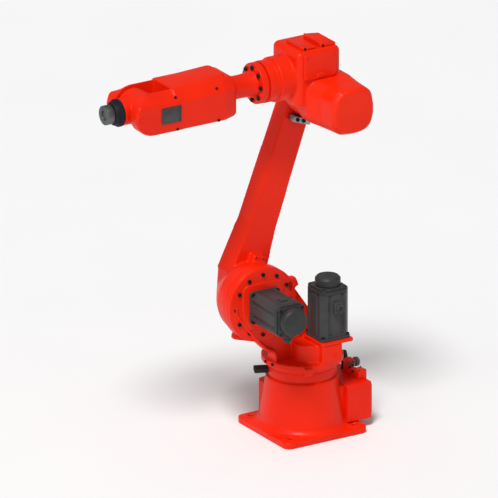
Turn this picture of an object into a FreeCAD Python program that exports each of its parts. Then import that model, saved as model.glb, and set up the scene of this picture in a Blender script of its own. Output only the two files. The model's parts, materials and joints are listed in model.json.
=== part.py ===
import FreeCAD, Part
import os
import Sketcher

# Six-axis industrial robot arm, in millimetres.  +X is where the forearm points,
# +Z is up, +Y is the robot's left, and the origin is on the floor under the first axis.
# Every size is a cell of the sheet below; every sub-part is bound to those cells.

Vector = FreeCAD.Vector
doc = FreeCAD.newDocument("RobotArm")
sheet = doc.addObject("Spreadsheet::Sheet", "sizes")

SIZES = {
    # the joints' places
    "shoulderX": 211, "shoulderZ": 580, "armLength": 870, "armLean": 19.6,
    "forearmRise": 117, "wristReach": 848, "toolReach": 1012,
    # running gaps
    "jointGap": 0.3, "clearance": 5, "seat": 0.3,
    # base
    "plateSide": 390, "plateThick": 26, "plateCorner": 30, "boltSpacing": 300,
    "boltHole": 22, "spotFace": 46, "spotDepth": 4,
    "footRadius": 178, "crownRadius": 147, "neckRadius": 140, "neckTop": 290, "neckTall": 56,
    "sideHalf": 100, "sideProud": 10, "sideTop": 170, "sideCorner": 24,
    "sideCoverThick": 6, "sideCoverInset": 12,
    "rearFront": 128, "rearReach": 250, "rearHalf": 140, "rearLow": 34, "rearTop": 190,
    "rearCorner": 12, "fittingCorner": 6,
    "panelThick": 4, "panelInset": 10,
    "releaseLength": 40, "releaseWide": 48, "releaseTall": 38, "releaseY": 76, "releaseX": 226,
    "manifoldX": 220, "manifoldY": 2, "manifoldWide": 40, "manifoldLong": 34, "manifoldTall": 60,
    "glandRadius": 15, "glandNeck": 12, "glandLength": 78, "glandX": 226, "glandY": 44, "glandThick": 30,
    "hoseRadius": 19, "hoseLength": 26, "hoseZ": 40,
    "stopWide": 44, "stopReach": 196, "stopDrop": 44, "stopTall": 20, "stopAngle": -25, "stopSink": 12,
    # turntable
    "flangeRadius": 166, "flangeGap": 6, "flangeThick": 27, "thrustRadius": 120,
    "webBack": 20, "webFront": 12, "faceY": 40, "discRadius": 157, "bite": 1,
    "webRear": 156, "toeInset": 14, "toeTall": 32, "shinIn": 19, "shinDown": 204, "shinOut": 41,
    "calfDown": 138, "touchOut": 126, "touchDown": 28, "napeIn": 167, "napeUp": 31,
    "ribBack": 24, "ribDown": 120,
    "discThick": 12, "discBoltCircle": 257, "discBoltHole": 9, "discBoltDepth": 8, "thrustBoss": 112,
    "drumRadius": 75, "drumY": 64, "drumTall": 71,
    "mountLeft": 9, "mountRight": 83, "mountBack": 70, "mountFace": 172, "mountTall": 75,
    "padHalf": 98, "padCut": 34, "padThick": 6,
    "lugAngle": 66.5, "lugWide": 32, "lugDrop": 12, "lugProud": 16, "lugStep": 7,
    "shoulderLugAngle": 157, "shoulderLugTall": 21, "shoulderLugWide": 40, "shoulderLugThick": 30,
    # servo motors of the first two joints
    "motorSquare": 138, "motorFlangeThick": 12, "motorBodySquare": 134, "motorCorner": 22,
    "motorLength": 190, "bellSquare": 120, "bellThick": 10, "capRadius": 58, "capLength": 33,
    "motorPlateSide": 150, "motorPlateThick": 12, "motorPlateCorner": 14,
    "waistMotorX": -64, "waistMotorY": 90, "waistPlateY": 97, "waistLength": 197, "waistCap": 52,
    "waistCapLength": 38, "plugWide": 40, "plugLong": 34, "plugTall": 44, "plugRound": 17, "plugStub": 16,
    # upper arm
    "hubBack": 25, "hubRadius": 151, "hubShoulder": 144, "hubRim": 50, "hubWaist": 127, "hubWaistDepth": 85,
    "hubCrown": 74, "hubDepth": 169, "armMiddle": 152, "armThickLow": 108, "armThickTop": 84,
    "armBackLow": 74, "armFrontLow": 96, "armLowAt": 70, "armBackKnee": 58, "armFrontKnee": 72,
    "armKneeAt": 290, "armThickKnee": 98, "armHalfTop": 59, "armEnd": 60, "endProud": 2,
    "armStopWide": 96, "armStopTall": 52, "armStopThick": 30,
    "armStopReach": 174, "armStopAngle": 183,
    "bufferGap": 8, "bufferTall": 26, "bufferLong": 84, "bufferDeep": 46, "bufferX": 0,
    # elbow
    "elbowRadius": 100, "elbowGap": 8, "elbowFront": 40, "elbowBoss": 56,
    "blockBack": 40, "blockFront": 166, "blockHalf": 102, "blockTop": 244, "blockCorner": 26,
    "coverX": -5, "coverZ": 13, "coverSide": 192, "coverCorner": 70, "coverLength": 216,
    "collarRadius": 93, "collarGap": 13, "ringFront": 280, "ringRadius": 86, "collarFront": 232,
    "plateWide": 150, "plateGap": 16, "plateMargin": 9, "plateDeep": 10, "plateX": 66,
    "capMiddle": 62, "capLow": 20, "capHigh": 25, "capCorner": 10, "capInset": 20, "capFar": 52,
    # forearm
    "forearmGap": 8, "rotorRadius": 84.5, "rotorThick": 28, "rotorBoss": 70, "rotorBoltCircle": 136,
    "rotorBoltHole": 9, "rotorBoltDepth": 8, "neckFlare": 58, "forearmNeck": 48, "flareLength": 52,
    "boxBack": 452, "slotBack": 740, "boxHalf": 108, "boxTall": 84, "boxCorner": 34, "boxEdge": 10,
    "slotHalf": 62, "sidePlate": 12,
    "humpBack": 480, "humpFront": 726, "humpHalf": 66, "humpTall": 11, "humpCorner": 20,
    "nameLong": 92, "nameTall": 74, "nameThick": 2, "nameAt": 770,
    # wrist
    "wristRadius": 70, "trunnion": 40, "noseStep": 2, "noseFront": 944,
    "sealEnd": 44, "sealFront": 980, "sealStraight": 960,
    "toolRadius": 40, "toolThick": 28, "toolShaft": 36, "toolBore": 20, "toolBoreDepth": 6,
    "toolBoltCircle": 63, "toolBoltHole": 6, "toolBoltDepth": 10,
}

# sizes that follow from others
FOLLOWS = {
    "crownTop": "(neckTop - neckTall)",
    "sideReach": "(footRadius + sideProud)",
    "stopLow": "(neckTop - stopDrop)",
    "flangeLow": "(neckTop + flangeGap)",
    "flangeTop": "(neckTop + flangeGap + flangeThick)",
    "drumTop": "(flangeTop + drumTall)",
    "mountTop": "(flangeTop + mountTall)",
    "lugLow": "(flangeLow - lugDrop)",
    "lugTop": "(flangeTop - lugStep)",
    "lugReach": "(flangeRadius + lugProud)",
    "shoulderLugReach": "(discRadius + shoulderLugTall)",
    "elbowBack": "(armMiddle - armThickTop / 2 - endProud - elbowGap)",
    "bufferRadius": "(elbowRadius + bufferGap)",
    "collarBack": "(coverX + coverSide / 2 + collarGap)",
    "wristHalf": "(slotHalf - clearance)",
    "sealRadius": "(slotHalf - clearance)",
    "noseRadius": "(slotHalf - clearance - noseStep)",
}

for row, (alias, size) in enumerate(SIZES.items(), 1):
    sheet.set("A%d" % row, alias)
    sheet.set("B%d" % row, str(size))
    sheet.setAlias("B%d" % row, alias)
doc.recompute()


def bound(text):
    """the expression with each size's name pointing at its cell of the sheet"""
    text = str(text)
    words = []
    word = ""
    for letter in text + " ":
        if letter.isalnum():
            word += letter
            continue
        if word in FOLLOWS:
            word = bound(FOLLOWS[word])
        words.append("sizes." + word if word in SIZES else word)
        words.append(letter)
        word = ""
    return "".join(words).strip()


def number(text):
    """the value that an expression has now, as a plain number"""
    return float(sheet.evalExpression(bound(text)))


# places worked out from the sizes, as expressions
ELBOW_X = "(shoulderX - armLength * sin(armLean))"
ELBOW_Z = "(shoulderZ + armLength * cos(armLean))"
AXIS_Z = "(" + ELBOW_Z + " + forearmRise)"
ORIGIN = ("0", "0", "0")
SHOULDER = ("shoulderX", "0", "shoulderZ")
ELBOW = (ELBOW_X, "0", ELBOW_Z)
FOREARM = (ELBOW_X, "0", AXIS_Z)
WRIST = ("(" + ELBOW_X + " + wristReach)", "0", AXIS_Z)

PLANES = {"floor": "XY_Plane", "side": "XZ_Plane", "front": "YZ_Plane"}
NODES = []


def new_body(label, at=ORIGIN, axis=(0, 0, 1), angle="0"):
    """a body named for its sub-part, placed and turned by expressions"""
    body = doc.addObject("PartDesign::Body", label)
    body.Label = label
    body.Placement = FreeCAD.Placement(Vector(), FreeCAD.Rotation(Vector(*axis), number(angle)))
    for direction, place in zip("xyz", at):
        body.setExpression("Placement.Base." + direction, bound(place))
    if angle != "0":
        body.setExpression("Placement.Rotation.Angle", bound(angle))
    NODES.append(body)
    return body


def new_sketch(body, plane, offset="0"):
    """an empty sketch on one of the body's origin planes, moved out by offset"""
    role = PLANES[plane]
    support = [each for each in body.Origin.OriginFeatures if each.Role == role][0]
    sketch = body.newObject("Sketcher::SketchObject", body.Label + "_sketch")
    sketch.AttachmentSupport = (support, "")
    sketch.MapMode = "FlatFace"
    # the side plane looks along -Y, so its offset is turned round to count along +Y
    along = "-(" + offset + ")" if plane == "side" else offset
    sketch.setExpression("AttachmentOffset.Base.z", bound(along))
    return sketch


def pin_point(sketch, edge, end, place):
    """tie one point of a sketch to a pair of expressions"""
    for kind, text in zip(("DistanceX", "DistanceY"), place):
        index = sketch.addConstraint(Sketcher.Constraint(kind, -1, 1, edge, end, number(text)))
        sketch.setExpression("Constraints[%d]" % index, bound(text))


def outline(body, plane, points, offset="0"):
    """a closed outline of straight edges through pairs of expressions"""
    sketch = new_sketch(body, plane, offset)
    corners = [Vector(number(x), number(y), 0) for x, y in points]
    count = len(corners)
    for edge in range(count):
        sketch.addGeometry(Part.LineSegment(corners[edge], corners[(edge + 1) % count]))
    for edge in range(count):
        sketch.addConstraint(Sketcher.Constraint("Coincident", edge, 2, (edge + 1) % count, 1))
    for edge, place in enumerate(points):
        pin_point(sketch, edge, 1, place)
    return sketch


def rectangle(body, plane, low, high, offset="0"):
    """a rectangle between two opposite corners"""
    corners = [low, (high[0], low[1]), high, (low[0], high[1])]
    return outline(body, plane, corners, offset)


def circle(body, plane, radius, centre=("0", "0"), offset="0"):
    """a circle of a bound radius about a bound centre"""
    sketch = new_sketch(body, plane, offset)
    middle = Vector(number(centre[0]), number(centre[1]), 0)
    sketch.addGeometry(Part.Circle(middle, Vector(0, 0, 1), number(radius)))
    index = sketch.addConstraint(Sketcher.Constraint("Radius", 0, number(radius)))
    sketch.setExpression("Constraints[%d]" % index, bound(radius))
    pin_point(sketch, 0, 3, centre)
    return sketch


def feature(body, kind, sketch, length):
    """add a pad or a pocket made from a sketch"""
    made = body.newObject("PartDesign::" + kind, body.Label + "_" + kind)
    made.Profile = sketch
    made.setExpression("Length", bound(length))
    # the side plane looks along -Y, so a feature on it is turned round to count along +Y
    made.Reversed = sketch.AttachmentSupport[0][0].Role == PLANES["side"]
    sketch.Visibility = False
    doc.recompute()
    return made


def pad(body, sketch, length):
    """raise a sketch by a length"""
    return feature(body, "Pad", sketch, length)


def pocket(body, sketch, length):
    """cut a sketch down to a depth and make sure that it has taken something away"""
    before = body.Shape.Volume
    made = feature(body, "Pocket", sketch, length)
    if not body.Shape.Volume < before:
        raise RuntimeError(body.Label + ": a pocket cut nothing")
    return made


def turn(body, sketch, axis="V_Axis", kind="Revolution"):
    """turn a half outline a full circle about one of its sketch's axes"""
    made = body.newObject("PartDesign::" + kind, body.Label + "_" + kind)
    made.Profile = sketch
    made.ReferenceAxis = (sketch, [axis])
    made.Angle = 360
    sketch.Visibility = False
    doc.recompute()
    return made


def straight_edges(body, direction, keep=None):
    """names of the straight edges that run along a direction, in the body's own frame"""
    names = []
    shape = body.Tip.Shape
    for index, edge in enumerate(shape.Edges, 1):
        if edge.Curve.TypeId != "Part::GeomLine":
            continue
        across = edge.Curve.Direction.cross(Vector(*direction)).Length
        if across < 1e-6 and (keep is None or keep(edge.CenterOfMass)):
            names.append("Edge%d" % index)
    return names


def round_off(body, names, size, kind="Fillet"):
    """round or bevel the named edges by a bound size"""
    base = body.Tip
    made = body.newObject("PartDesign::" + kind, body.Label + "_" + kind)
    made.Base = (base, names)
    made.setExpression("Radius" if kind == "Fillet" else "Size", bound(size))
    doc.recompute()
    return made


def disc(body, plane, radius, start, length, centre=("0", "0")):
    """a round pad from start along the plane's axis"""
    return pad(body, circle(body, plane, radius, centre, start), length)


def ring_of_holes(body, plane, circle_diameter, hole, depth, face, count):
    """one hole on a bolt circle, repeated round the plane's axis"""
    first = circle(body, plane, hole + " / 2", (circle_diameter + " / 2", "0"), face)
    drilled = pocket(body, first, depth)
    pattern = body.newObject("PartDesign::PolarPattern", body.Label + "_holes")
    pattern.Originals = [drilled]
    pattern.Axis = (drilled.Profile[0], ["N_Axis"])
    pattern.Angle = 360
    pattern.Occurrences = count
    body.Tip = pattern
    doc.recompute()
    return pattern


def block(label, at, low, high, plane, start, length, corner):
    """a rounded block: a rectangle on a plane, raised from start, with rounded long edges"""
    body = new_body(label, at)
    pad(body, rectangle(body, plane, low, high, start), length)
    direction = {"floor": (0, 0, 1), "side": (0, 1, 0), "front": (1, 0, 0)}[plane]
    round_off(body, straight_edges(body, direction), corner)
    return body


# ---- base -----------------------------------------------------------------------------

def make_base_plate():
    """the square foot with its four anchor holes, each in a spot face"""
    half = "plateSide / 2"
    body = block("base_plate", ORIGIN, ("-" + half, "-" + half), (half, half),
                 "floor", "0", "plateThick", "plateCorner")
    place = "boltSpacing / 2"
    for x, y in ((place, place), ("-" + place, place), ("-" + place, "-" + place), (place, "-" + place)):
        pocket(body, circle(body, "floor", "boltHole / 2", (x, y), "plateThick"), "plateThick")
        pocket(body, circle(body, "floor", "spotFace / 2", (x, y), "plateThick"), "spotDepth")


def make_base_casting():
    """the conical pedestal and the side box cast with it"""
    body = new_body("base_casting")
    cone = [("0", "plateThick"), ("footRadius", "plateThick"),
            ("crownRadius", "crownTop"), ("0", "crownTop")]
    turn(body, outline(body, "side", cone))
    pad(body, rectangle(body, "floor", ("-sideHalf", "-sideReach"), ("sideHalf", "0"), "plateThick"),
        "sideTop - plateThick")
    reach = number("-sideReach")
    outer = straight_edges(body, (0, 0, 1), lambda middle: middle.y < reach + 1)
    round_off(body, outer, "sideCorner")


def make_base_covers():
    """the side box's cover plate and the plain panel behind the connector box"""
    low = ("sideCoverInset - sideHalf + sideCorner", "plateThick + sideCoverInset")
    high = ("sideHalf - sideCorner - sideCoverInset", "sideTop - sideCoverInset")
    block("base_side_cover", ORIGIN, low, high, "side", "-sideReach - sideCoverThick", "sideCoverThick",
          "sideCoverInset")
    low = ("panelInset - rearHalf", "rearLow + panelInset")
    high = ("rearHalf - panelInset", "rearTop - panelInset")
    block("connector_panel", ORIGIN, low, high, "front", "-rearReach", "panelThick", "panelInset")


def make_connector_box():
    """the box behind the pedestal, hollowed to fit round the cone"""
    body = new_body("connector_box")
    pad(body, rectangle(body, "floor", ("panelThick - rearReach", "-rearHalf"), ("-rearFront", "rearHalf"),
                        "rearLow"), "rearTop - rearLow")
    back = number("panelThick - rearReach")
    round_off(body, straight_edges(body, (0, 0, 1), lambda middle: middle.x < back + 1), "rearCorner")
    slope = "(footRadius - crownRadius) / (crownTop - plateThick)"
    low = "footRadius + seat"
    high = "footRadius + seat - (" + slope + ") * (rearTop + clearance - plateThick)"
    cone = [("0", "plateThick"), (low, "plateThick"),
            (high, "rearTop + clearance"), ("0", "rearTop + clearance")]
    turn(body, outline(body, "side", cone), "V_Axis", "Groove")


def make_box_fittings():
    """what stands on the connector box: brake release box, air manifold, its coupling and a gland"""
    half_x = "releaseLength / 2"
    half_y = "releaseWide / 2"
    block("brake_release_box", ("-releaseX", "releaseY", "rearTop"), ("-" + half_x, "-" + half_y),
          (half_x, half_y), "floor", "0", "releaseTall", "fittingCorner")
    block("air_manifold", ("-manifoldX", "manifoldY", "rearTop"),
          ("-manifoldLong / 2", "-manifoldWide / 2"), ("manifoldLong / 2", "manifoldWide / 2"),
          "floor", "0", "manifoldTall", "fittingCorner")
    body = new_body("cable_gland", ("-glandX", "-glandY", "rearTop"))
    disc(body, "floor", "glandNeck", "0", "glandThick")
    disc(body, "floor", "glandRadius", "glandThick", "glandLength - glandThick")
    body = new_body("air_coupling", ("-manifoldX", "manifoldY", "rearTop"))
    end = "-manifoldLong / 2 - hoseLength"
    disc(body, "front", "hoseRadius", end, "hoseLength", ("0", "hoseZ"))


def make_neck():
    """the reducer housing that carries the turntable"""
    body = new_body("waist_reducer")
    disc(body, "floor", "neckRadius", "crownTop", "neckTop - crownTop")


def make_base_stop():
    """the black stop bar on the neck's front, hollowed to seat on the neck"""
    body = new_body("waist_stop", ORIGIN, (0, 0, 1), "stopAngle")
    low = ("neckRadius - stopSink", "-stopWide / 2")
    pad(body, rectangle(body, "floor", low, ("stopReach", "stopWide / 2"), "stopLow"), "stopTall")
    neck = number("neckRadius")
    round_off(body, straight_edges(body, (0, 0, 1), lambda middle: middle.x > neck), "stopTall / 3")
    top = "stopLow + stopTall + clearance"
    hollow = [("0", "stopLow - clearance"), ("neckRadius + seat", "stopLow - clearance"),
              ("neckRadius + seat", top), ("0", top)]
    turn(body, outline(body, "side", hollow), "V_Axis", "Groove")


# ---- turntable ------------------------------------------------------------------------

def make_turntable():
    """flange, web, shoulder disc, centre drum and motor mount, cast as one"""
    body = new_body("turntable_casting")
    disc(body, "floor", "thrustRadius", "neckTop + jointGap", "flangeLow - neckTop - jointGap + bite")
    disc(body, "floor", "flangeRadius", "flangeLow", "flangeTop - flangeLow")
    foot = "flangeTop - bite"
    front = [("flangeRadius - toeInset", foot), ("flangeRadius - toeInset", "flangeTop + toeTall"),
             ("shoulderX - shinIn", "shoulderZ - shinDown"),
             ("shoulderX + shinOut", "shoulderZ - calfDown"),
             ("shoulderX + touchOut", "shoulderZ - touchDown"), ("shoulderX", "shoulderZ")]
    web = [("-webRear", foot)] + front + [("shoulderX - napeIn", "shoulderZ + napeUp")]
    pad(body, outline(body, "side", web, "-webBack"), "webBack + webFront")
    rib = [("ribBack", foot)] + front + [("ribBack", "shoulderZ - ribDown")]
    pad(body, outline(body, "side", rib, "-webBack"), "webBack + faceY - discThick")
    centre = ("shoulderX", "shoulderZ")
    disc(body, "side", "discRadius", "-webBack", "webBack + faceY - discThick", centre)
    disc(body, "side", "thrustBoss", "jointGap - hubBack", "hubBack - webBack + bite - jointGap", centre)
    disc(body, "floor", "drumRadius", foot, "drumTop - flangeTop + bite", ("0", "drumY"))
    mount = rectangle(body, "floor", ("-mountRight", "mountBack"), ("mountLeft", "mountFace"), foot)
    pad(body, mount, "mountTop - flangeTop + bite")


def make_shoulder():
    """the bolted ring, the octagonal motor pad and the stop lug at the shoulder"""
    body = new_body("shoulder_flange", SHOULDER)
    disc(body, "side", "discRadius", "faceY - discThick", "discThick")
    ring_of_holes(body, "side", "discBoltCircle", "discBoltHole", "discBoltDepth", "faceY", 12)
    body = new_body("shoulder_motor_pad", SHOULDER)
    half = "padHalf"
    cut = "(padHalf - padCut)"
    octagon = [(half, cut), (cut, half), ("-" + cut, half), ("-" + half, cut),
               ("-" + half, "-" + cut), ("-" + cut, "-" + half), (cut, "-" + half), (half, "-" + cut)]
    pad(body, outline(body, "side", octagon, "faceY"), "padThick")
    body = new_body("shoulder_stop_lug", SHOULDER, (0, 1, 0), "-shoulderLugAngle")
    half = "shoulderLugWide / 2"
    pad(body, rectangle(body, "side", ("discRadius - stopSink", "-" + half), ("shoulderLugReach", half),
                        "faceY - shoulderLugThick"), "shoulderLugThick")
    rim = [("0", "-clearance"), ("discRadius + seat", "-clearance"),
           ("discRadius + seat", "faceY + clearance"), ("0", "faceY + clearance")]
    turn(body, outline(body, "floor", rim), "V_Axis", "Groove")


def make_waist_lug():
    """the stop lug on the turntable's rim"""
    body = new_body("waist_stop_lug", ORIGIN, (0, 0, 1), "lugAngle")
    half = "lugWide / 2"
    pad(body, rectangle(body, "floor", ("flangeRadius - stopSink", "-" + half), ("lugReach", half), "lugLow"),
        "lugTop - lugLow")
    hollow = [("0", "lugLow - clearance"), ("flangeRadius + seat", "lugLow - clearance"),
              ("flangeRadius + seat", "lugTop + clearance"), ("0", "lugTop + clearance")]
    turn(body, outline(body, "side", hollow), "V_Axis", "Groove")


# ---- motors ---------------------------------------------------------------------------

def square(body, plane, side, start, length, corner=None):
    """a square pad about the body's axis"""
    half = side + " / 2"
    made = pad(body, rectangle(body, plane, ("-" + half, "-" + half), (half, half), start), length)
    if corner:
        direction = {"floor": (0, 0, 1), "side": (0, 1, 0)}[plane]
        low = number(start)
        axis = {"floor": 2, "side": 1}[plane]
        names = straight_edges(body, direction, lambda middle: middle[axis] > low)
        round_off(body, names, corner, "Chamfer")
    return made


def make_shoulder_motor():
    """the second joint's servo motor, lying along the joint's axis"""
    body = new_body("shoulder_motor", SHOULDER)
    square(body, "side", "motorSquare", "faceY + padThick", "motorFlangeThick")
    start = "faceY + padThick + motorFlangeThick"
    square(body, "side", "motorBodySquare", start, "motorLength", "motorCorner")
    body = new_body("shoulder_motor_encoder", SHOULDER)
    start = start + " + motorLength"
    square(body, "side", "bellSquare", start, "bellThick", "motorCorner")
    disc(body, "side", "capRadius", start + " + bellThick", "capLength")
    body = new_body("shoulder_motor_plug", SHOULDER)
    half = "plugWide / 2"
    face = "motorBodySquare / 2"
    low = ("-" + half, "-" + face + " - plugLong")
    pad(body, rectangle(body, "side", low, (half, "-" + face + " - seat"), start + " - plugTall"), "plugTall")


def make_waist_motor():
    """the first joint's servo motor, standing on its plate"""
    at = ("waistMotorX", "waistMotorY", "mountTop")
    half = "motorPlateSide / 2"
    block("waist_motor_plate", ("waistMotorX", "waistPlateY", "mountTop"), ("-" + half, "-" + half),
          (half, half), "floor", "0", "motorPlateThick", "motorPlateCorner")
    body = new_body("waist_motor", at)
    square(body, "floor", "motorSquare", "motorPlateThick", "motorFlangeThick")
    start = "motorPlateThick + motorFlangeThick"
    square(body, "floor", "motorBodySquare", start, "waistLength", "motorCorner")
    body = new_body("waist_motor_encoder", at)
    start = start + " + waistLength"
    square(body, "floor", "bellSquare", start, "bellThick", "motorCorner")
    disc(body, "floor", "waistCap", start + " + bellThick", "waistCapLength")
    body = new_body("waist_motor_plug", at)
    half = "plugWide / 2"
    face = "motorBodySquare / 2 + seat"
    pad(body, rectangle(body, "floor", ("-" + half, face), (half, face + " + plugLong - plugStub"),
                        start + " - plugTall * 2"), "plugTall")
    disc(body, "side", "plugRound", face + " + plugLong - plugStub", "plugStub",
         ("0", start + " - plugTall * 3 / 2"))


# ---- upper arm ------------------------------------------------------------------------

def make_upper_arm():
    """hub and beam; the body's own z runs up the arm from the shoulder's axis"""
    body = new_body("upper_arm_casting", SHOULDER, (0, 1, 0), "-armLean")
    hub = [("0", "-hubBack"), ("hubRadius", "-hubBack"), ("hubShoulder", "-hubBack - hubRim"),
           ("hubWaist", "-hubBack - hubWaistDepth"), ("hubCrown", "-hubBack - hubDepth"),
           ("0", "-hubBack - hubDepth")]
    turn(body, outline(body, "floor", hub))
    sections = []
    for height, back, front, thick in (("armLowAt", "armBackLow", "armFrontLow", "armThickLow"),
                                       ("armKneeAt", "armBackKnee", "armFrontKnee", "armThickKnee"),
                                       ("armLength", "armHalfTop", "armHalfTop", "armThickTop")):
        low = ("-" + back, "-armMiddle - " + thick + " / 2")
        high = (front, "-armMiddle + " + thick + " / 2")
        sections.append(rectangle(body, "floor", low, high, height))
    beam = body.newObject("PartDesign::AdditiveLoft", "upper_arm_beam")
    beam.Profile = sections[0]
    beam.Sections = sections[1:]
    beam.Ruled = True
    doc.recompute()
    centre = ("0", "armLength")
    disc(body, "side", "armEnd", "-armMiddle - armThickTop / 2", "armThickTop + endProud", centre)


def make_arm_stops():
    """the stop block under the hub and the aluminium buffer below the elbow"""
    body = new_body("upper_arm_stop", SHOULDER, (0, 1, 0), "armStopAngle - armLean")
    half = "armStopWide / 2"
    pad(body, rectangle(body, "side", ("-" + half, "hubRadius - armStopTall / 2"), (half, "armStopReach"),
                        "-hubBack - armStopThick"), "armStopThick")
    rim = [("0", "0"), ("hubRadius + seat", "0"), ("hubRadius + seat", "-hubBack - hubRim"),
           ("0", "-hubBack - hubRim")]
    turn(body, outline(body, "floor", rim), "V_Axis", "Groove")
    body = new_body("elbow_buffer", SHOULDER, (0, 1, 0), "-armLean")
    taper = "(armThickKnee - armThickTop) / 2 * (bufferRadius + bufferTall) / (armLength - armKneeAt)"
    face = "-armMiddle + armThickTop / 2 + " + taper
    half = "bufferLong / 2"
    pad(body, rectangle(body, "side", ("bufferX - " + half, "armLength - bufferRadius - bufferTall"),
                        ("bufferX + " + half, "armLength - bufferRadius"), face + " + seat"), "bufferDeep")


# ---- elbow ----------------------------------------------------------------------------

def make_elbow():
    """the casting that turns on the third axis and carries the forearm's axis"""
    body = new_body("elbow_casting", ELBOW)
    low = "forearmRise - blockHalf"
    pad(body, rectangle(body, "floor", ("-blockBack", "-blockHalf"), ("blockFront", "blockHalf"), low),
        "blockTop - (" + low + ")")
    top = number("blockTop") - 1
    round_off(body, straight_edges(body, (0, 0, 1)), "blockCorner")
    edges = enumerate(body.Tip.Shape.Edges, 1)
    rim = ["Edge%d" % index for index, edge in edges if edge.CenterOfMass.z > top]
    round_off(body, rim, "blockCorner - bite")
    notch = ("coverX + coverSide / 2 + clearance", "coverZ + coverSide / 2 + clearance")
    corner = ("-blockBack - clearance", low + " - clearance")
    pocket(body, rectangle(body, "side", corner, notch, "blockHalf"), "blockHalf - elbowFront")
    disc(body, "side", "elbowRadius", "-elbowBack", "elbowBack + elbowFront")
    edge = "armMiddle - armThickTop / 2 - endProud"
    disc(body, "side", "elbowBoss", "jointGap - (" + edge + ")", edge + " - elbowBack + bite - jointGap")
    disc(body, "front", "collarRadius", "collarBack", "collarFront - collarBack", ("0", "forearmRise"))


def make_elbow_covers():
    """the motor's rounded cover, the bolted side plate and the cap on top"""
    low = ("coverX - coverSide / 2", "coverZ - coverSide / 2")
    high = ("coverX + coverSide / 2", "coverZ + coverSide / 2")
    block("elbow_motor_cover", ELBOW, low, high, "side", "elbowFront", "coverLength", "coverCorner")
    low = ("plateX - plateWide / 2", "coverZ + coverSide / 2 + plateGap")
    high = ("plateX + plateWide / 2", "blockTop - plateMargin")
    block("elbow_side_cover", ELBOW, low, high, "side", "blockHalf", "plateDeep", "plateDeep")
    near = "(blockHalf - capInset)"
    block("elbow_cap_rear", ELBOW, ("capInset / 2 - blockBack", "-capFar"), ("capMiddle", near),
          "floor", "blockTop", "capHigh", "capCorner")
    block("elbow_cap_front", ELBOW, ("capMiddle + seat", "-capFar"), ("blockFront - capInset", near),
          "floor", "blockTop", "capLow", "capCorner")


def make_collar():
    """the ring at the elbow's front that the forearm's flange faces"""
    body = new_body("forearm_bearing_ring", FOREARM)
    disc(body, "front", "ringRadius", "collarFront", "ringFront - collarFront")


# ---- forearm --------------------------------------------------------------------------

def make_forearm_root():
    """the bolted flange that turns on the fourth axis and the neck that follows it"""
    body = new_body("forearm_flange", FOREARM)
    start = "ringFront + forearmGap"
    disc(body, "front", "rotorBoss", "ringFront + jointGap", "forearmGap - jointGap + bite")
    disc(body, "front", "rotorRadius", start, "rotorThick")
    base = start + " + rotorThick"
    ring_of_holes(body, "front", "rotorBoltCircle", "rotorBoltHole", "rotorBoltDepth", base, 8)
    body = new_body("forearm_neck", FOREARM)
    profile = [(base, "0"), (base, "neckFlare"), (base + " + flareLength", "forearmNeck"),
               ("boxBack", "forearmNeck"), ("boxBack", "0")]
    turn(body, outline(body, "side", profile), "H_Axis")


def make_forearm():
    """the long box, its bevelled top and the hump on it"""
    body = new_body("forearm_box", FOREARM)
    pad(body, rectangle(body, "front", ("-boxHalf", "-boxTall"), ("boxHalf", "boxTall"), "boxBack"),
        "slotBack - boxBack")
    round_off(body, straight_edges(body, (1, 0, 0), lambda middle: middle.z > 0), "boxCorner", "Chamfer")
    round_off(body, straight_edges(body, (1, 0, 0), lambda middle: middle.z < 0), "boxEdge")
    block("forearm_hump", FOREARM, ("humpBack", "-humpHalf"), ("humpFront", "humpHalf"), "floor", "boxTall",
          "humpTall", "humpCorner")


def make_fork():
    """the two arms that hold the wrist; the box's top bevel runs on along them"""
    thick = "boxHalf - slotHalf"
    reach = "wristReach + boxTall"
    for name, low, outer, inner in (("fork_arm_left", "slotHalf", "boxHalf", "boxHalf - boxCorner"),
                                    ("fork_arm_right", "-boxHalf", "-boxHalf", "boxCorner - boxHalf")):
        body = new_body(name, FOREARM)
        pad(body, rectangle(body, "side", ("slotBack", "-boxTall"), ("wristReach", "boxTall"), low), thick)
        disc(body, "side", "boxTall", low, thick, ("wristReach", "0"))
        bevel = [(outer, "boxTall - boxCorner"), (outer, "boxTall + bite"),
                 (inner, "boxTall + bite"), (inner, "boxTall")]
        pocket(body, outline(body, "front", bevel, reach), reach + " - slotBack")


def make_fork_covers():
    """the cover plates on the fork's two sides and the blank plate on the near one"""
    edge = "(boxTall - boxEdge)"
    shoulder = "(boxTall - boxCorner)"
    for name, low in (("fork_cover_left", "boxHalf"), ("fork_cover_right", "-boxHalf - sidePlate")):
        body = new_body(name, FOREARM)
        corner = ("boxBack + boxEdge", "-" + edge)
        pad(body, rectangle(body, "side", corner, ("wristReach", shoulder), low), "sidePlate")
        disc(body, "side", edge, low, "sidePlate", ("wristReach", "0"))
        corner = ("wristReach - boxTall", shoulder)
        crown = rectangle(body, "side", corner, ("wristReach + boxTall", "boxTall"), low + " + sidePlate")
        pocket(body, crown, "sidePlate")
    half = "nameLong / 2"
    tall = "nameTall / 2"
    block("blank_plate", FOREARM, ("nameAt - " + half, "-" + tall), ("nameAt + " + half, tall), "side",
          "boxHalf + sidePlate", "nameThick", "clearance")


# ---- wrist ----------------------------------------------------------------------------

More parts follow.
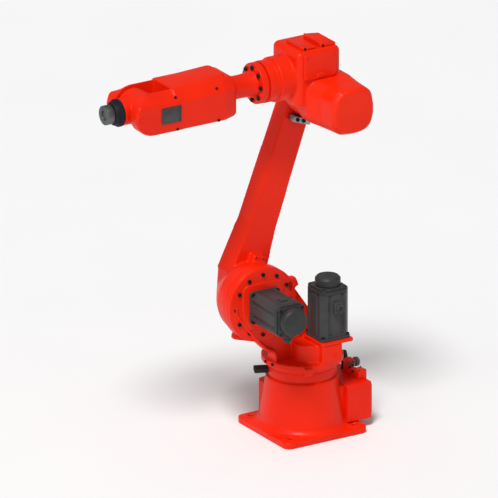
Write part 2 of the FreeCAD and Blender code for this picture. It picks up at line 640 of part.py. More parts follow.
def make_wrist():
    """the tilting barrel with its trunnions and nose, then the seal ring"""
    body = new_body("wrist_casting", WRIST)
    disc(body, "side", "wristRadius", "-wristHalf", "wristHalf * 2")
    disc(body, "side", "trunnion", "jointGap - slotHalf", "(slotHalf - jointGap) * 2")
    disc(body, "front", "noseRadius", "0", "noseFront - wristReach")
    body = new_body("wrist_seal", WRIST)
    base = "(noseFront - wristReach)"
    profile = [(base, "0"), (base, "sealRadius"), ("sealStraight - wristReach", "sealRadius"),
               ("sealFront - wristReach", "sealEnd"), ("sealFront - wristReach", "0")]
    turn(body, outline(body, "side", profile), "H_Axis")


def make_tool_flange():
    """the flange that carries the tool, with its pilot bore and four tapped holes"""
    body = new_body("tool_flange", WRIST)
    face = "(toolReach - wristReach)"
    disc(body, "front", "toolShaft", "sealFront - wristReach + jointGap",
         "toolReach - toolThick - sealFront - jointGap + bite")
    disc(body, "front", "toolRadius", face + " - toolThick", "toolThick")
    pocket(body, circle(body, "front", "toolBore", ("0", "0"), face), "toolBoreDepth")
    ring_of_holes(body, "front", "toolBoltCircle", "toolBoltHole", "toolBoltDepth", face, 4)


# ---- build, check and write -------------------------------------------------------------

def build():
    """make every sub-part in order from the floor up"""
    make_base_plate()
    make_base_casting()
    make_base_covers()
    make_connector_box()
    make_box_fittings()
    make_neck()
    make_base_stop()
    make_turntable()
    make_shoulder()
    make_waist_lug()
    make_shoulder_motor()
    make_waist_motor()
    make_upper_arm()
    make_arm_stops()
    make_elbow()
    make_elbow_covers()
    make_collar()
    make_forearm_root()
    make_forearm()
    make_fork()
    make_fork_covers()
    make_wrist()
    make_tool_flange()
    doc.recompute()


def check():
    """stop if any object failed or any sub-part is empty or broken"""
    failed = [each.Name for each in doc.Objects if {"Invalid", "Error"} & set(each.State)]
    for body in NODES:
        if body.Shape.isNull() or not body.Shape.isValid() or len(body.Shape.Solids) < 1:
            failed.append(body.Label)
    if failed:
        raise RuntimeError("failed: " + ", ".join(failed))


def write():
    """one STEP file for each sub-part, named for its node"""
    os.makedirs("parts", exist_ok=True)
    for body in NODES:
        body.Shape.exportStep("parts/" + body.Label + ".step")
        print(body.Label, len(body.Shape.Solids), round(body.Shape.Volume / 1000))


build()
check()
write()
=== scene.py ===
import json
import math

import bmesh
import bpy
import numpy as np
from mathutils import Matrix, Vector


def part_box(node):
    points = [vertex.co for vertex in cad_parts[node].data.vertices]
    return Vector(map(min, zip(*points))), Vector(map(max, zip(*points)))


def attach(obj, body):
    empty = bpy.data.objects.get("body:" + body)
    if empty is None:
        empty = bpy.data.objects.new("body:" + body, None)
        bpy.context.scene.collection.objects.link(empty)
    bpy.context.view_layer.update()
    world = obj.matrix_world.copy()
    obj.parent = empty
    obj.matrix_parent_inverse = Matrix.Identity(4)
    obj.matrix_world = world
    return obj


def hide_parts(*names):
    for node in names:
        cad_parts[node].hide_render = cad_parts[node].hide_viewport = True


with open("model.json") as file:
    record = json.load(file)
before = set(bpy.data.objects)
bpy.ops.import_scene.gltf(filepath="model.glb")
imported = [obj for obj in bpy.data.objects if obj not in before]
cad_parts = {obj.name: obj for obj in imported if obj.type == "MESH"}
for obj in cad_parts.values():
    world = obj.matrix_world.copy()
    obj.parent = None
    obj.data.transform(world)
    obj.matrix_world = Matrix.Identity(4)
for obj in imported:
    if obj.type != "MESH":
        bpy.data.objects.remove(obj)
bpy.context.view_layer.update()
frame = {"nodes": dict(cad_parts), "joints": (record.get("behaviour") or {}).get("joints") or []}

scene = bpy.context.scene
joints = {joint["name"]: joint for joint in frame["joints"]}
print("frame loaded")


# a place is an origin and three axes, so that each piece is drawn in its own directions

def placeAt(origin, across, up):  # the third axis is the one a shape is raised along
    across, up = np.array(across, float), np.array(up, float)
    return np.array(origin, float), np.array([across, up, np.cross(across, up)])


def moved(place, right=0.0, up=0.0, out=0.0):  # the same directions from a shifted origin
    return place[0] + np.array([right, up, out]) @ place[1], place[1]


def placed(points, place):  # a point is the origin plus its three shares of the axes
    return place[0] + points @ place[1]


xAxis, yAxis, zAxis = np.eye(3)
shoulderAt = np.array(joints["shoulder_swing"]["pos_m"])
elbowAt = np.array(joints["elbow_swing"]["pos_m"])
forearmAt = np.array(joints["forearm_roll"]["pos_m"])
wristAt = np.array(joints["wrist_tilt"]["pos_m"])
armUp = (elbowAt - shoulderAt) / np.linalg.norm(elbowAt - shoulderAt)
armFront = np.cross(yAxis, armUp)
ground = placeAt((0, 0, 0), xAxis, yAxis)


def sidesOf(node):  # a node's lowest and highest corners, the middle between them and half of each side
    low, high = (np.array(corner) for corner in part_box(node))
    return low, high, (low + high) / 2, (high - low) / 2


def raisedUp(node):  # a place at the middle of a node's underside, its half sides in X and Y, its height
    low, high, middle, half = sidesOf(node)
    return placeAt((middle[0], middle[1], low[2]), xAxis, yAxis), half[0], half[1], high[2] - low[2]


def raisedLeft(node):  # the same on a node's right side, raised to +Y: half sides in X and Z, depth
    low, high, middle, half = sidesOf(node)
    return placeAt((middle[0], low[1], middle[2]), -xAxis, zAxis), half[0], half[2], high[1] - low[1]


def raisedForward(node, axis):  # from a node's rear end along a joint's axis: radius and length
    low, high, _, half = sidesOf(node)
    return placeAt((low[0], axis[1], axis[2]), yAxis, zAxis), half[1], high[0] - low[0]


class Wire:  # one socket; arithmetic on it adds Math nodes
    def __init__(self, finish, socket):
        self.finish, self.socket = finish, socket

    def reckon(self, operation, first, second):
        return self.finish.add("ShaderNodeMath", {"operation": operation}, {0: first, 1: second}).out(0)

    def __add__(self, other): return self.reckon("ADD", self, other)
    def __radd__(self, other): return self.reckon("ADD", other, self)
    def __sub__(self, other): return self.reckon("SUBTRACT", self, other)
    def __rsub__(self, other): return self.reckon("SUBTRACT", other, self)
    def __mul__(self, other): return self.reckon("MULTIPLY", self, other)
    def __rmul__(self, other): return self.reckon("MULTIPLY", other, self)


class Added:  # a node just made, asked for its outputs
    def __init__(self, finish, node):
        self.finish, self.node = finish, node

    def out(self, which):
        return Wire(self.finish, self.node.outputs[which])


class Finish:  # a material and its one Principled shader
    def __init__(self, name):
        self.material = bpy.data.materials.new(name)
        self.material.use_nodes = True
        self.tree = self.material.node_tree
        self.shader = next(node for node in self.tree.nodes if node.type == "BSDF_PRINCIPLED")
        self.coords = self.add("ShaderNodeTexCoord", {}, {}).out("Object")

    def add(self, kind, settings, inputs):  # settings first, then values or wires into its sockets
        node = self.tree.nodes.new(kind)
        for name, value in settings.items():
            setattr(node, name, value)
        for which, value in inputs.items():
            self.feed(node.inputs[which], value)
        return Added(self, node)

    def feed(self, socket, value):
        if isinstance(value, Wire):
            self.tree.links.new(value.socket, socket)
        else:
            socket.default_value = value

    def set(self, **inputs):  # sockets of the shader, with _ for a space
        for name, value in inputs.items():
            self.feed(self.shader.inputs[name.replace("_", " ")], value)

    def noise(self, scale, detail=3.0, roughness=0.5, stretch=None):
        coords = self.coords
        if stretch:
            coords = self.add("ShaderNodeMapping", {}, {"Vector": coords, "Scale": stretch}).out(0)
        sockets = {"Vector": coords, "Scale": scale, "Detail": detail, "Roughness": roughness}
        return self.add("ShaderNodeTexNoise", {}, sockets).out("Fac")

    def ramp(self, value, low, high):  # 0 below low, 1 above high, straight between
        sockets = {0: value, 1: low, 2: high, 3: 0.0, 4: 1.0}
        return self.add("ShaderNodeMapRange", {"clamp": True}, sockets).out(0)

    def mix(self, share, first, second):  # colours, by share
        return self.add("ShaderNodeMix", {"data_type": "RGBA"}, {0: share, 6: first, 7: second}).out(2)

    def bump(self, height, strength, distance):
        sockets = {"Height": height, "Strength": strength, "Distance": distance}
        return self.add("ShaderNodeBump", {}, sockets).out(0)


def rgb(red, green, blue):  # an opaque colour
    return (red, green, blue, 1.0)


paintLook = {"colour": rgb(0.90, 0.021, 0.001), "deep": rgb(0.80, 0.014, 0.001), "dust": rgb(0.84, 0.05, 0.02),
             "roughness": 0.36, "specular": 0.15, "coat": 0.06, "coatRoughness": 0.16}


def makePaint(name, grain, grainDepth):  # enamel: broad colour drift, faint dust, orange-peel bump
    paint = Finish(name)
    drift = paint.noise(2.3, 3.0, 0.55)
    cloud = paint.noise(11.0, 5.0, 0.62)
    dust = paint.ramp(cloud, 0.62, 0.92) * 0.22
    colour = paint.mix(paint.ramp(drift, 0.35, 0.65), paintLook["deep"], paintLook["colour"])
    peel = paint.noise(grain, 2.0, 0.5)
    speck = paint.noise(grain * 3.1, 1.0, 0.4)
    paint.set(Base_Color=paint.mix(dust, colour, paintLook["dust"]),
              Roughness=paintLook["roughness"] + 0.10 * drift + 0.25 * dust,
              Normal=paint.bump(peel * 0.8 + speck * 0.2, 0.35, grainDepth),
              Specular_IOR_Level=paintLook["specular"],
              Coat_Weight=paintLook["coat"], Coat_Roughness=paintLook["coatRoughness"])
    return paint.material


def makeDark(name, light, dark, roughness, grain, grainDepth, metallic=0.0):  # cast or moulded dark parts
    finish = Finish(name)
    drift = finish.noise(9.0, 4.0, 0.6)
    rub = finish.noise(38.0, 5.0, 0.65)
    colour = finish.mix(finish.ramp(drift, 0.3, 0.7), dark, light)
    finish.set(Base_Color=colour, Roughness=roughness - 0.10 + 0.22 * rub, Metallic=metallic, Specular_IOR_Level=0.2,
               Normal=finish.bump(finish.noise(grain, 2.0, 0.55), 0.4, grainDepth))
    return finish.material


def makeMetal(name, colour, dark, roughness, stretch, scratch):  # machined metal with its cutter's lines
    finish = Finish(name)
    lines = finish.noise(scratch, 3.0, 0.6, stretch)
    stain = finish.noise(14.0, 4.0, 0.6)
    finish.set(Base_Color=finish.mix(finish.ramp(stain, 0.35, 0.75), colour, dark),
               Roughness=roughness + 0.16 * lines + 0.08 * stain, Metallic=1.0,
               Normal=finish.bump(lines, 0.25, 0.0002))
    return finish.material


painted = ("robot_paint", makePaint("cast_enamel", 210.0, 0.0005))
coverPainted = ("robot_paint", makePaint("cover_enamel", 340.0, 0.0003))
motorFinish = ("motor_black",
               makeDark("motor_enamel", rgb(0.060, 0.061, 0.062), rgb(0.040, 0.041, 0.042), 0.42, 900.0, 0.0003))
bellFinish = ("encoder_black",
              makeDark("encoder_enamel", rgb(0.044, 0.045, 0.045), rgb(0.027, 0.028, 0.029), 0.46, 700.0, 0.0003))
oxideBlack = ("gland_black",
              makeDark("black_oxide", rgb(0.030, 0.030, 0.032), rgb(0.014, 0.014, 0.016), 0.40, 1200.0, 0.0001, 0.55))
stopRubber = ("stop_rubber",
              makeDark("stop_rubber", rgb(0.030, 0.032, 0.034), rgb(0.016, 0.017, 0.019), 0.66, 500.0, 0.0004))
nylon = makeDark("moulded_nylon", rgb(0.058, 0.059, 0.061), rgb(0.036, 0.037, 0.039), 0.50, 800.0, 0.0002)
# near-black rubber of the wrist seal, also used as painted shade for the ring in the gap behind the roll flange
sealAndGapShade = ("seal_black",
              makeDark("seal_rubber", rgb(0.014, 0.014, 0.019), rgb(0.007, 0.007, 0.010), 0.58, 600.0, 0.0003))
bareAluminium = ("bare_aluminium",
                 makeMetal("milled_aluminium", rgb(0.360, 0.360, 0.365), rgb(0.260, 0.260, 0.270),
                           0.28, (1, 1, 22), 60.0))
zinc = makeMetal("plated_fitting", rgb(0.176, 0.176, 0.181), rgb(0.118, 0.118, 0.126), 0.32, (1, 1, 9), 90.0)
toolFinish = ("tool_steel",
              makeMetal("phosphated_steel", rgb(0.160, 0.168, 0.168), rgb(0.104, 0.108, 0.112),
                        0.38, (16, 1, 1), 60.0))
plateFinish = ("plate_grey",
               makeMetal("plain_plate", rgb(0.115, 0.105, 0.105), rgb(0.055, 0.050, 0.050), 0.42, (30, 1, 1), 40.0))
print("materials made")


def roundedOutline(halfWide, halfTall, corner, steps=6):
    # four quarter circles of the corner's radius about the inner corners, joined in order
    quarter = np.linspace(0, math.pi / 2, steps)
    angles = np.concatenate([quarter + turn * math.pi / 2 for turn in range(4)])
    right = np.repeat([1, -1, -1, 1], steps) * (halfWide - corner)
    up = np.repeat([1, 1, -1, -1], steps) * (halfTall - corner)
    return np.column_stack([right + corner * np.cos(angles), up + corner * np.sin(angles)])


def ribbedSquare(half, cut, grooveFrom, grooveTo, deep):
    # a square with cut corners and a shallow groove each side of every corner, one quarter turned four times
    side = [(half, grooveFrom), (half - deep, grooveFrom + deep), (half - deep, grooveTo - deep), (half, grooveTo),
            (half, half - cut)]
    quarter = np.array(side + [(up, right) for right, up in side[::-1]])
    turn = np.array([[0, 1], [-1, 0]])
    return np.concatenate([quarter @ np.linalg.matrix_power(turn, count) for count in range(4)])


def softEnds(low, high, edge, steps=5):
    # heights and insets of a wall whose two rims are quarter rounds
    turn = np.linspace(0, math.pi / 2, steps)
    rise, inset = edge * (1 - np.cos(turn)), edge * (1 - np.sin(turn))
    return np.concatenate([np.column_stack([low + rise, inset]), np.column_stack([high - rise, inset])[::-1]])


def stacked(outline, levels):
    # one ring per level: the outline drawn in by the inset, at the height
    return np.array([np.column_stack([outline(inset), np.full(len(outline(inset)), height)])
                     for height, inset in levels])


def turnedRings(profile, around=64, ripple=None):
    # each profile point (radius, height) carried round the axis; ripple scales the radius by angle
    profile = np.array(profile, float)
    angle = np.linspace(0, 2 * math.pi, around, endpoint=False)
    radius = profile[:, :1] * (np.ones(around) if ripple is None else ripple(angle))
    height = np.repeat(profile[:, 1:2], around, 1)
    return np.stack([radius * np.cos(angle), radius * np.sin(angle), height], -1)


def softProfile(points, edge, steps=4):
    # a profile whose inner corners are each rounded by a short curve through a corner's two shoulders
    points = np.array(points, float)
    rows = [points[:1]]
    share = np.linspace(0, 1, steps)[:, None]
    for before, corner, after in zip(points[:-2], points[1:-1], points[2:]):
        back, on = before - corner, after - corner
        reach = min(edge, np.linalg.norm(back) * 0.45, np.linalg.norm(on) * 0.45)
        start = corner + back / max(np.linalg.norm(back), 1e-9) * reach
        end = corner + on / max(np.linalg.norm(on), 1e-9) * reach
        rows.append((1 - share) ** 2 * start + 2 * share * (1 - share) * corner + share ** 2 * end)
    rows.append(points[-1:])
    return np.concatenate(rows)


def ringSolid(rings, place, loop=False):
    # quads between neighbouring rings, and one face at each end unless the rings close on themselves
    index = np.arange(rings.shape[0] * rings.shape[1]).reshape(rings.shape[:2])
    above = np.roll(index, -1, 0) if loop else index[1:]
    here = index if loop else index[:-1]
    quads = np.stack([here, np.roll(here, -1, 1), np.roll(above, -1, 1), above], -1).reshape(-1, 4)
    ends = [] if loop else [index[0, ::-1].tolist(), index[-1].tolist()]
    return placed(rings.reshape(-1, 3), place), quads.tolist() + ends


def meshOf(name, solids):  # several solids as one mesh: each one's faces count on from the corners before it
    points, faces, start = [], [], 0
    for corners, sides in solids:
        points.append(corners)
        faces += [[start + each for each in side] for side in sides]
        start += len(corners)
    mesh = bpy.data.meshes.new(name)
    mesh.from_pydata(np.concatenate(points).tolist(), [], faces)
    mesh.validate()
    outward(mesh)
    return mesh


def outward(mesh, merge=0.0):  # merges doubles and turns every face outwards
    work = bmesh.new()
    work.from_mesh(mesh)
    if merge:
        bmesh.ops.remove_doubles(work, verts=work.verts, dist=merge)
    bmesh.ops.recalc_face_normals(work, faces=work.faces)
    work.to_mesh(mesh)
    work.free()


def addPiece(name, mesh, body, finish, nodes=(), sharp=38):  # edges that turn by more than sharp degrees stay crisp
    slotName, material = finish
    piece = bpy.data.objects.new(name, mesh)
    scene.collection.objects.link(piece)
    mesh.materials.clear()
    mesh.materials.append(material)
    mesh.shade_smooth()
    if sharp:
        mesh.set_sharp_from_angle(angle=math.radians(sharp))
    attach(piece, body)
    if nodes:
        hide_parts(*nodes)
    return piece


def madePiece(name, solids, body, finish, nodes=(), sharp=38):
    return addPiece(name, meshOf(name, solids), body, finish, nodes, sharp)


def partsOf(mesh):  # a mesh's corners and faces
    points = np.zeros(len(mesh.vertices) * 3)
    mesh.vertices.foreach_get("co", points)
    return points.reshape(-1, 3), [list(face.vertices) for face in mesh.polygons]


def nodeSolid(node):
    return partsOf(frame["nodes"][node].data)


def putInOrder(mesh):
    # corners sorted by place and faces by their corners, since a bevel lists them differently from run to run
    points, faces = partsOf(mesh)
    order = np.lexsort(np.round(points, 7).T)
    rank = np.argsort(order).tolist()
    faces = [[rank[each] for each in face] for face in faces]
    faces = sorted(face[face.index(min(face)):] + face[:face.index(min(face))] for face in faces)
    mesh.clear_geometry()
    mesh.from_pydata(points[order].tolist(), [], faces)


def castPiece(name, nodes, body, size, extras=()):
    # the nodes and their extra lumps as one skin of even cells, its edges softened as in a casting
    mesh = meshOf(name, [nodeSolid(node) for node in nodes] + list(extras))
    outward(mesh, 1e-5)
    rough = bpy.data.objects.new(name + "_rough", mesh)
    scene.collection.objects.link(rough)
    remesh = rough.modifiers.new("skin", "REMESH")
    remesh.mode, remesh.voxel_size, remesh.use_smooth_shade = "VOXEL", size["voxel"], True
    soften = rough.modifiers.new("soften", "SMOOTH")
    soften.factor, soften.iterations = 0.5, size["soften"]
    skin = bpy.data.meshes.new_from_object(rough.evaluated_get(bpy.context.evaluated_depsgraph_get()))
    bpy.data.objects.remove(rough)
    skin.name = name
    return addPiece(name, skin, body, painted, nodes, sharp=0)


def bevelledNode(name, node, body, finish, edge, steps=3, turn=35):
    # the node's own faces with small rounds on its sharp edges
    mesh = meshOf(name, [nodeSolid(node)])
    work = bmesh.new()
    work.from_mesh(mesh)
    bmesh.ops.remove_doubles(work, verts=work.verts, dist=1e-5)
    bmesh.ops.dissolve_limit(work, angle_limit=math.radians(0.5), verts=work.verts, edges=work.edges)
    bmesh.ops.recalc_face_normals(work, faces=work.faces)
    sharpEdges = [each for each in work.edges if each.calc_face_angle(0) > math.radians(turn)]
    bmesh.ops.bevel(work, geom=sharpEdges, offset=edge, segments=steps, profile=0.5, affect="EDGES",
                    clamp_overlap=True, offset_type="OFFSET")
    work.to_mesh(mesh)
    putInOrder(mesh)
    work.clear()
    work.from_mesh(mesh)
    bmesh.ops.triangulate(work, faces=[face for face in work.faces if len(face.verts) > 4])
    work.to_mesh(mesh)
    work.free()
    return addPiece(name, mesh, body, finish, [node], sharp=50)


def shrinking(halfWide, halfTall, corner, least=2e-4, steps=6):  # a rounded outline as a function of its inset
    return lambda inset: roundedOutline(halfWide - inset, halfTall - inset, max(corner - inset, least), steps)


def roundedBlock(halfWide, halfTall, corner, low, high, edge, place, steps=6):
    # a rounded outline carried from low to high with softened rims
    return ringSolid(stacked(shrinking(halfWide, halfTall, corner, 2e-4, steps), softEnds(low, high, edge)), place)


def domed(outline, low, high, edge, inner=24):  # a block whose top is filled with rings drawn in to its middle
    rings = stacked(outline, softEnds(low, high, edge))
    shares = np.linspace(0.96, 0.02, inner)
    return np.concatenate([rings, np.stack([rings[-1] * [share, share, 1] for share in shares])])


def turnedSolid(profile, place, around=64, edge=0.0, ripple=None, loop=False):
    # a profile turned about the place's third axis
    rows = softProfile(profile, edge) if edge else profile
    return ringSolid(turnedRings(rows, around, ripple), place, loop)


hexagon = lambda angle: np.cos(math.pi / 6) / np.cos(angle % (math.pi / 3) - math.pi / 6)


def screws(spots, radius, tall, place, socket=0.55):
    # a round head with a bevelled rim and a hexagonal socket, turned as rings and repeated at each spot
    bevel, wrench, deep = radius * 0.16, radius * socket, tall * 0.62
    head = turnedRings([(radius, -tall * 0.3), (radius, tall - bevel), (radius - bevel * 0.3, tall - bevel * 0.3),
                        (radius - bevel, tall)], 24)
    key = turnedRings([(wrench * 1.08, tall), (wrench, tall - bevel * 0.4), (wrench, tall - deep)], 24, hexagon)
    return [ringSolid(np.concatenate([head, key]), moved(place, *spot)) for spot in spots]


def screwPiece(name, body, *sizes):  # black screws as a piece of their own
    return madePiece(name, screws(*sizes), body, oxideBlack)


def circleSpots(count, radius, out, start=0.0):  # evenly round a circle
    angle = np.radians(start) + np.arange(count) * 2 * math.pi / count
    return np.column_stack([radius * np.cos(angle), radius * np.sin(angle), np.full(count, out)])


def cornerSpots(halfWide, halfTall, out):  # the four corners of a rectangle about the middle
    return [(right * halfWide, up * halfTall, out) for right in (1, -1) for up in (1, -1)]


pedestal = {"voxel": 0.0036, "soften": 7, "footFillet": 0.030, "foot": (0.178, 0.026), "crown": (0.147, 0.234),
            "anchor": 0.150, "bossOut": 0.034, "bossIn": 0.0125, "bossTop": 0.031,
            "bridge": (0.118, 0.052, 0.036, 0.186)}


def makePedestal():  # the cone and its foot's fillet, four anchor bosses, the bridge to the connectors
    size = pedestal
    foot, floorZ = size["foot"]
    lean = (size["crown"][0] - foot) / (size["crown"][1] - floorZ)
    fillet = size["footFillet"]
    turn = np.linspace(0, math.pi / 2, 9)
    height = floorZ + fillet * (1 - np.sin(turn))
    curve = np.column_stack([foot + lean * (height - floorZ) + fillet * (1 - np.cos(turn)), height])
    skirt = np.concatenate([[(foot - 0.03, height[0])], curve, [(foot - 0.03, floorZ - 0.004)]])
    solids = [turnedSolid(skirt, ground, 96, loop=True)]
    boss = softProfile([(size["bossIn"], 0.004), (size["bossOut"], 0.004), (size["bossOut"] - 0.003, size["bossTop"]),
                        (size["bossIn"], size["bossTop"]), (size["bossIn"], 0.004)], 0.003)
    for right, up, _ in cornerSpots(size["anchor"], size["anchor"], 0):
        solids.append(turnedSolid(boss, moved(ground, right, up), 48, loop=True))
    wide, deep, low, high = size["bridge"]
    solids.append(roundedBlock(deep, wide, 0.02, low, high, 0.010, moved(ground, -0.090)))
    castPiece("pedestal", ["base_plate", "base_casting"], "base", size, solids)


sideCover = {"edge": 0.002, "corner": 0.012, "screw": 0.0055, "screwTall": 0.0045, "inset": 0.011}


def makeSideCover():  # the cover on the base's right side
    low, high, middle, half = sidesOf("base_side_cover")
    wide, tall, thick = half[0], half[2], high[1] - low[1]
    size = sideCover
    place = placeAt((0, high[1], middle[2]), xAxis, zAxis)  # raised towards the right
    plate = roundedBlock(wide, tall, size["corner"], 0, thick, size["edge"], place)
    madePiece("side_cover", [plate], "base", coverPainted, ["base_side_cover"])
    spots = cornerSpots(wide - size["inset"], tall - size["inset"], thick)
    screwPiece("side_cover_screws", "base", spots, size["screw"], size["screwTall"], place)


connectorSide = {"voxel": 0.0028, "soften": 4, "panelEdge": 0.0015, "panelCorner": 0.010, "screw": 0.005,
                 "screwTall": 0.004, "inset": 0.012, "hoodDeep": 0.011,
                 "hoods": ((-0.062, 0.016, 0.046, 0.021), (-0.062, -0.036, 0.046, 0.018)),
                 "sockets": ((0.045, 0.020, 0.021), (0.094, 0.020, 0.017), (0.045, -0.036, 0.015),
                             (0.094, -0.036, 0.015))}


def makeConnectorSide():  # the box of connectors behind the base, its plate, hoods and round sockets
    size = connectorSide
    castPiece("connector_housing", ["connector_box"], "base", size)
    low, high, middle, half = sidesOf("connector_panel")
    place = placeAt((high[0], 0, middle[2]), -yAxis, zAxis)  # raised towards the rear
    thick, wide, tall = high[0] - low[0], half[1], half[2]
    panel = roundedBlock(wide, tall, size["panelCorner"], -0.001, thick, size["panelEdge"], place)
    madePiece("connector_plate", [panel], "base", coverPainted, ["connector_panel"])
    spots = cornerSpots(wide - size["inset"], tall - size["inset"], thick) + [(0, tall - size["inset"], thick),
                                                                              (0, size["inset"] - tall, thick)]
    screwPiece("connector_plate_screws", "base", spots, size["screw"], size["screwTall"], place)
    hoods, deep = [], size["hoodDeep"]
    for right, up, halfWide, halfTall in size["hoods"]:
        at = moved(place, right, up)
        hoods += [roundedBlock(halfWide, halfTall, 0.006, thick - 0.001, thick + 0.004, 0.001, at),
                  roundedBlock(halfWide - 0.009, halfTall - 0.003, 0.005, thick, thick + deep, 0.002, at)]
        for end in (-1, 1):
            latch = moved(at, end * (halfWide - 0.0045), 0)
            hoods.append(roundedBlock(0.0025, halfTall * 0.62, 0.002, thick, thick + deep * 0.8, 0.001, latch))
    madePiece("connector_hoods", hoods, "base", ("gland_black", nylon))
    rings, cores = [], []
    for right, up, radius in size["sockets"]:
        at = moved(place, right, up)
        rings.append(turnedSolid([(radius * 0.60, thick - 0.001), (radius, thick - 0.001), (radius, thick + 0.003),
                                  (radius * 0.82, thick + 0.003), (radius * 0.82, thick + 0.011),
                                  (radius * 0.66, thick + 0.011), (radius * 0.60, thick + 0.004)],
                                 at, 48, 0.0008, loop=True))
        cores.append(turnedSolid([(radius * 0.62, thick), (radius * 0.62, thick + 0.006), (0.001, thick + 0.006)],
                                 at, 32, 0.0006))
        cores += [turnedSolid([(0.0012, thick), (0.0012, thick + 0.009), (0.0004, thick + 0.0095)],
                              moved(at, *spot), 10) for spot in circleSpots(6, radius * 0.36, 0)]
    madePiece("connector_rings", rings, "base", ("plate_grey", zinc))
    madePiece("connector_cores", cores, "base", ("gland_black", nylon))


fittings = {"edge": 0.004, "corner": 0.007, "screw": 0.0046, "screwTall": 0.004}


def makeFittings():  # the brake release box, the air manifold and its coupling
    size = fittings
    for name, node in (("release_housing", "brake_release_box"), ("manifold_block", "air_manifold")):
        place, wide, deep, tall = raisedUp(node)
        block = roundedBlock(wide, deep, size["corner"], -0.002, tall, size["edge"], place)
        madePiece(name, [block], "base", coverPainted, [node])
    _, high, middle, _ = sidesOf("brake_release_box")
    top = placeAt((middle[0], middle[1], high[2]), xAxis, yAxis)
    parts = screws(cornerSpots(0.013, 0.017, 0), size["screw"] * 0.7, size["screwTall"] * 0.7, top)
    _, high, middle, _ = sidesOf("air_manifold")
    side = placeAt((middle[0], high[1], middle[2]), -xAxis, zAxis)
    spots = [(0.006, 0.020, 0), (0.006, -0.020, 0), (-0.009, 0.0, 0)]
    parts += screws(spots, size["screw"], size["screwTall"], side)
    madePiece("fitting_screws", parts, "base", oxideBlack)
    port = turnedSolid([(0.001, 0.0), (0.0115, 0.0), (0.0115, 0.006), (0.009, 0.006), (0.009, 0.013), (0.006, 0.013),
                        (0.006, 0.007), (0.001, 0.007)], moved(side, -0.004, 0.012), 40, 0.0008)
    low, high, middle, half = sidesOf("air_coupling")
    axis = placeAt((high[0], middle[1], middle[2]), -yAxis, zAxis)  # raised towards the rear
    long, reach = high[0] - low[0], half[2]
    nut = turnedSolid([(0.001, -0.002), (reach * 0.86, -0.002), (reach * 0.86, 0.007), (reach * 0.80, 0.008),
                       (0.001, 0.008)], axis, 48, 0.0, hexagon)
    sleeve = turnedSolid([(0.001, 0.006), (reach * 0.78, 0.006), (reach * 0.78, 0.009), (reach, 0.010),
                          (reach, 0.0125), (reach * 0.93, 0.0135), (reach, 0.0145), (reach, 0.0175),
                          (reach * 0.93, 0.0185), (reach, 0.0195), (reach, long - 0.003), (reach * 0.9, long),
                          (reach * 0.62, long), (reach * 0.58, long - 0.007), (0.001, long - 0.007)],
                         axis, 56, 0.0007)
    madePiece("air_coupling_sleeve", [nut, sleeve, port], "base", ("gland_black", zinc), ["air_coupling"])


gland = {"hexReach": 0.0145, "bodyReach": 0.0118, "domeReach": 0.0148}


def makeGland():  # a cable gland: two nuts on a stem
    place, _, _, tall = raisedUp("cable_gland")
    nut, body, dome = gland["hexReach"], gland["bodyReach"], gland["domeReach"]
    nuts = [turnedSolid([(0.001, start), (nut - 0.001, start), (nut, start + 0.001),
                         (nut, start + 0.009), (nut - 0.001, start + 0.010),
                         (0.001, start + 0.010)], place, 48, 0.0, hexagon) for start in (0.0, 0.030)]
    stem = turnedSolid([(0.001, -0.002), (body, -0.002), (body, 0.041),
                        (dome, 0.041), (dome, tall - 0.020),
                        (dome * 0.8, tall - 0.006), (dome * 0.62, tall),
                        (dome * 0.5, tall), (dome * 0.45, tall - 0.012),
                        (0.001, tall - 0.012)], place, 48, 0.0015)
    madePiece("gland_body", nuts + [stem], "base", ("gland_black", nylon), ["cable_gland"])


neck = {"lip": 0.0012, "groove": 0.003}


def makeNeck():  # the reducer between base and turntable
    low, high, _, half = sidesOf("waist_reducer")
    reach, tall = half[0], high[2] - low[2]
    place = placeAt((0, 0, low[2]), xAxis, yAxis)
    cut = neck["groove"]
    profile = [(0.002, -0.004), (reach - 0.001, -0.004), (reach - 0.001, 0.002), (reach - cut, 0.003),
               (reach - cut, 0.006), (reach, 0.007), (reach, tall - 0.016), (reach - cut * 0.6, tall - 0.014),
               (reach - cut * 0.6, tall - 0.010), (reach, tall - 0.008), (reach, tall), (0.002, tall)]
    madePiece("reducer_housing", [turnedSolid(profile, place, 128, neck["lip"])], "base", painted, ["waist_reducer"])


stopBar = {"edge": 0.0035}


def makeStopBar():  # the rubber stop that the turntable's lug meets
    bevelledNode("stop_bar", "waist_stop", "base", stopRubber, stopBar["edge"])


makePedestal()
makeSideCover()
makeConnectorSide()
makeFittings()
makeGland()
makeNeck()
makeStopBar()
print("base made")


column = {"voxel": 0.0036, "soften": 7, "rimThick": 0.013, "rimNear": 0.047, "rimFar": 0.000,
          "rimPath": ((0.338, 0.592), (0.333, 0.558), (0.306, 0.516), (0.252, 0.447), (0.196, 0.387), (0.158, 0.364),
                      (0.147, 0.330)), "lug": (0.056, 0.100, 0.600, 0.668, 0.008, 0.040)}


def sectionAt(halfWide, halfTall, corner, right, up, level):  # a rounded outline about its own middle, at a level
    return np.column_stack([roundedOutline(halfWide, halfTall, corner) + [right, up], np.full(24, level)])


def alongPath(points, count):
    # a smooth curve through the points, each span blended from its four neighbours
    points = np.array(points, float)
    ends = np.concatenate([2 * points[:1] - points[1:2], points, 2 * points[-1:] - points[-2:-1]])
    share = np.linspace(0, 1, count, endpoint=False)[:, None]
    spans = [0.5 * (2 * b + (c - a) * share + (2 * a - 5 * b + 4 * c - d) * share ** 2
                    + (3 * b - a - 3 * c + d) * share ** 3)
             for a, b, c, d in zip(ends, ends[1:], ends[2:], ends[3:])]
    return np.concatenate(spans + [points[-1:]])


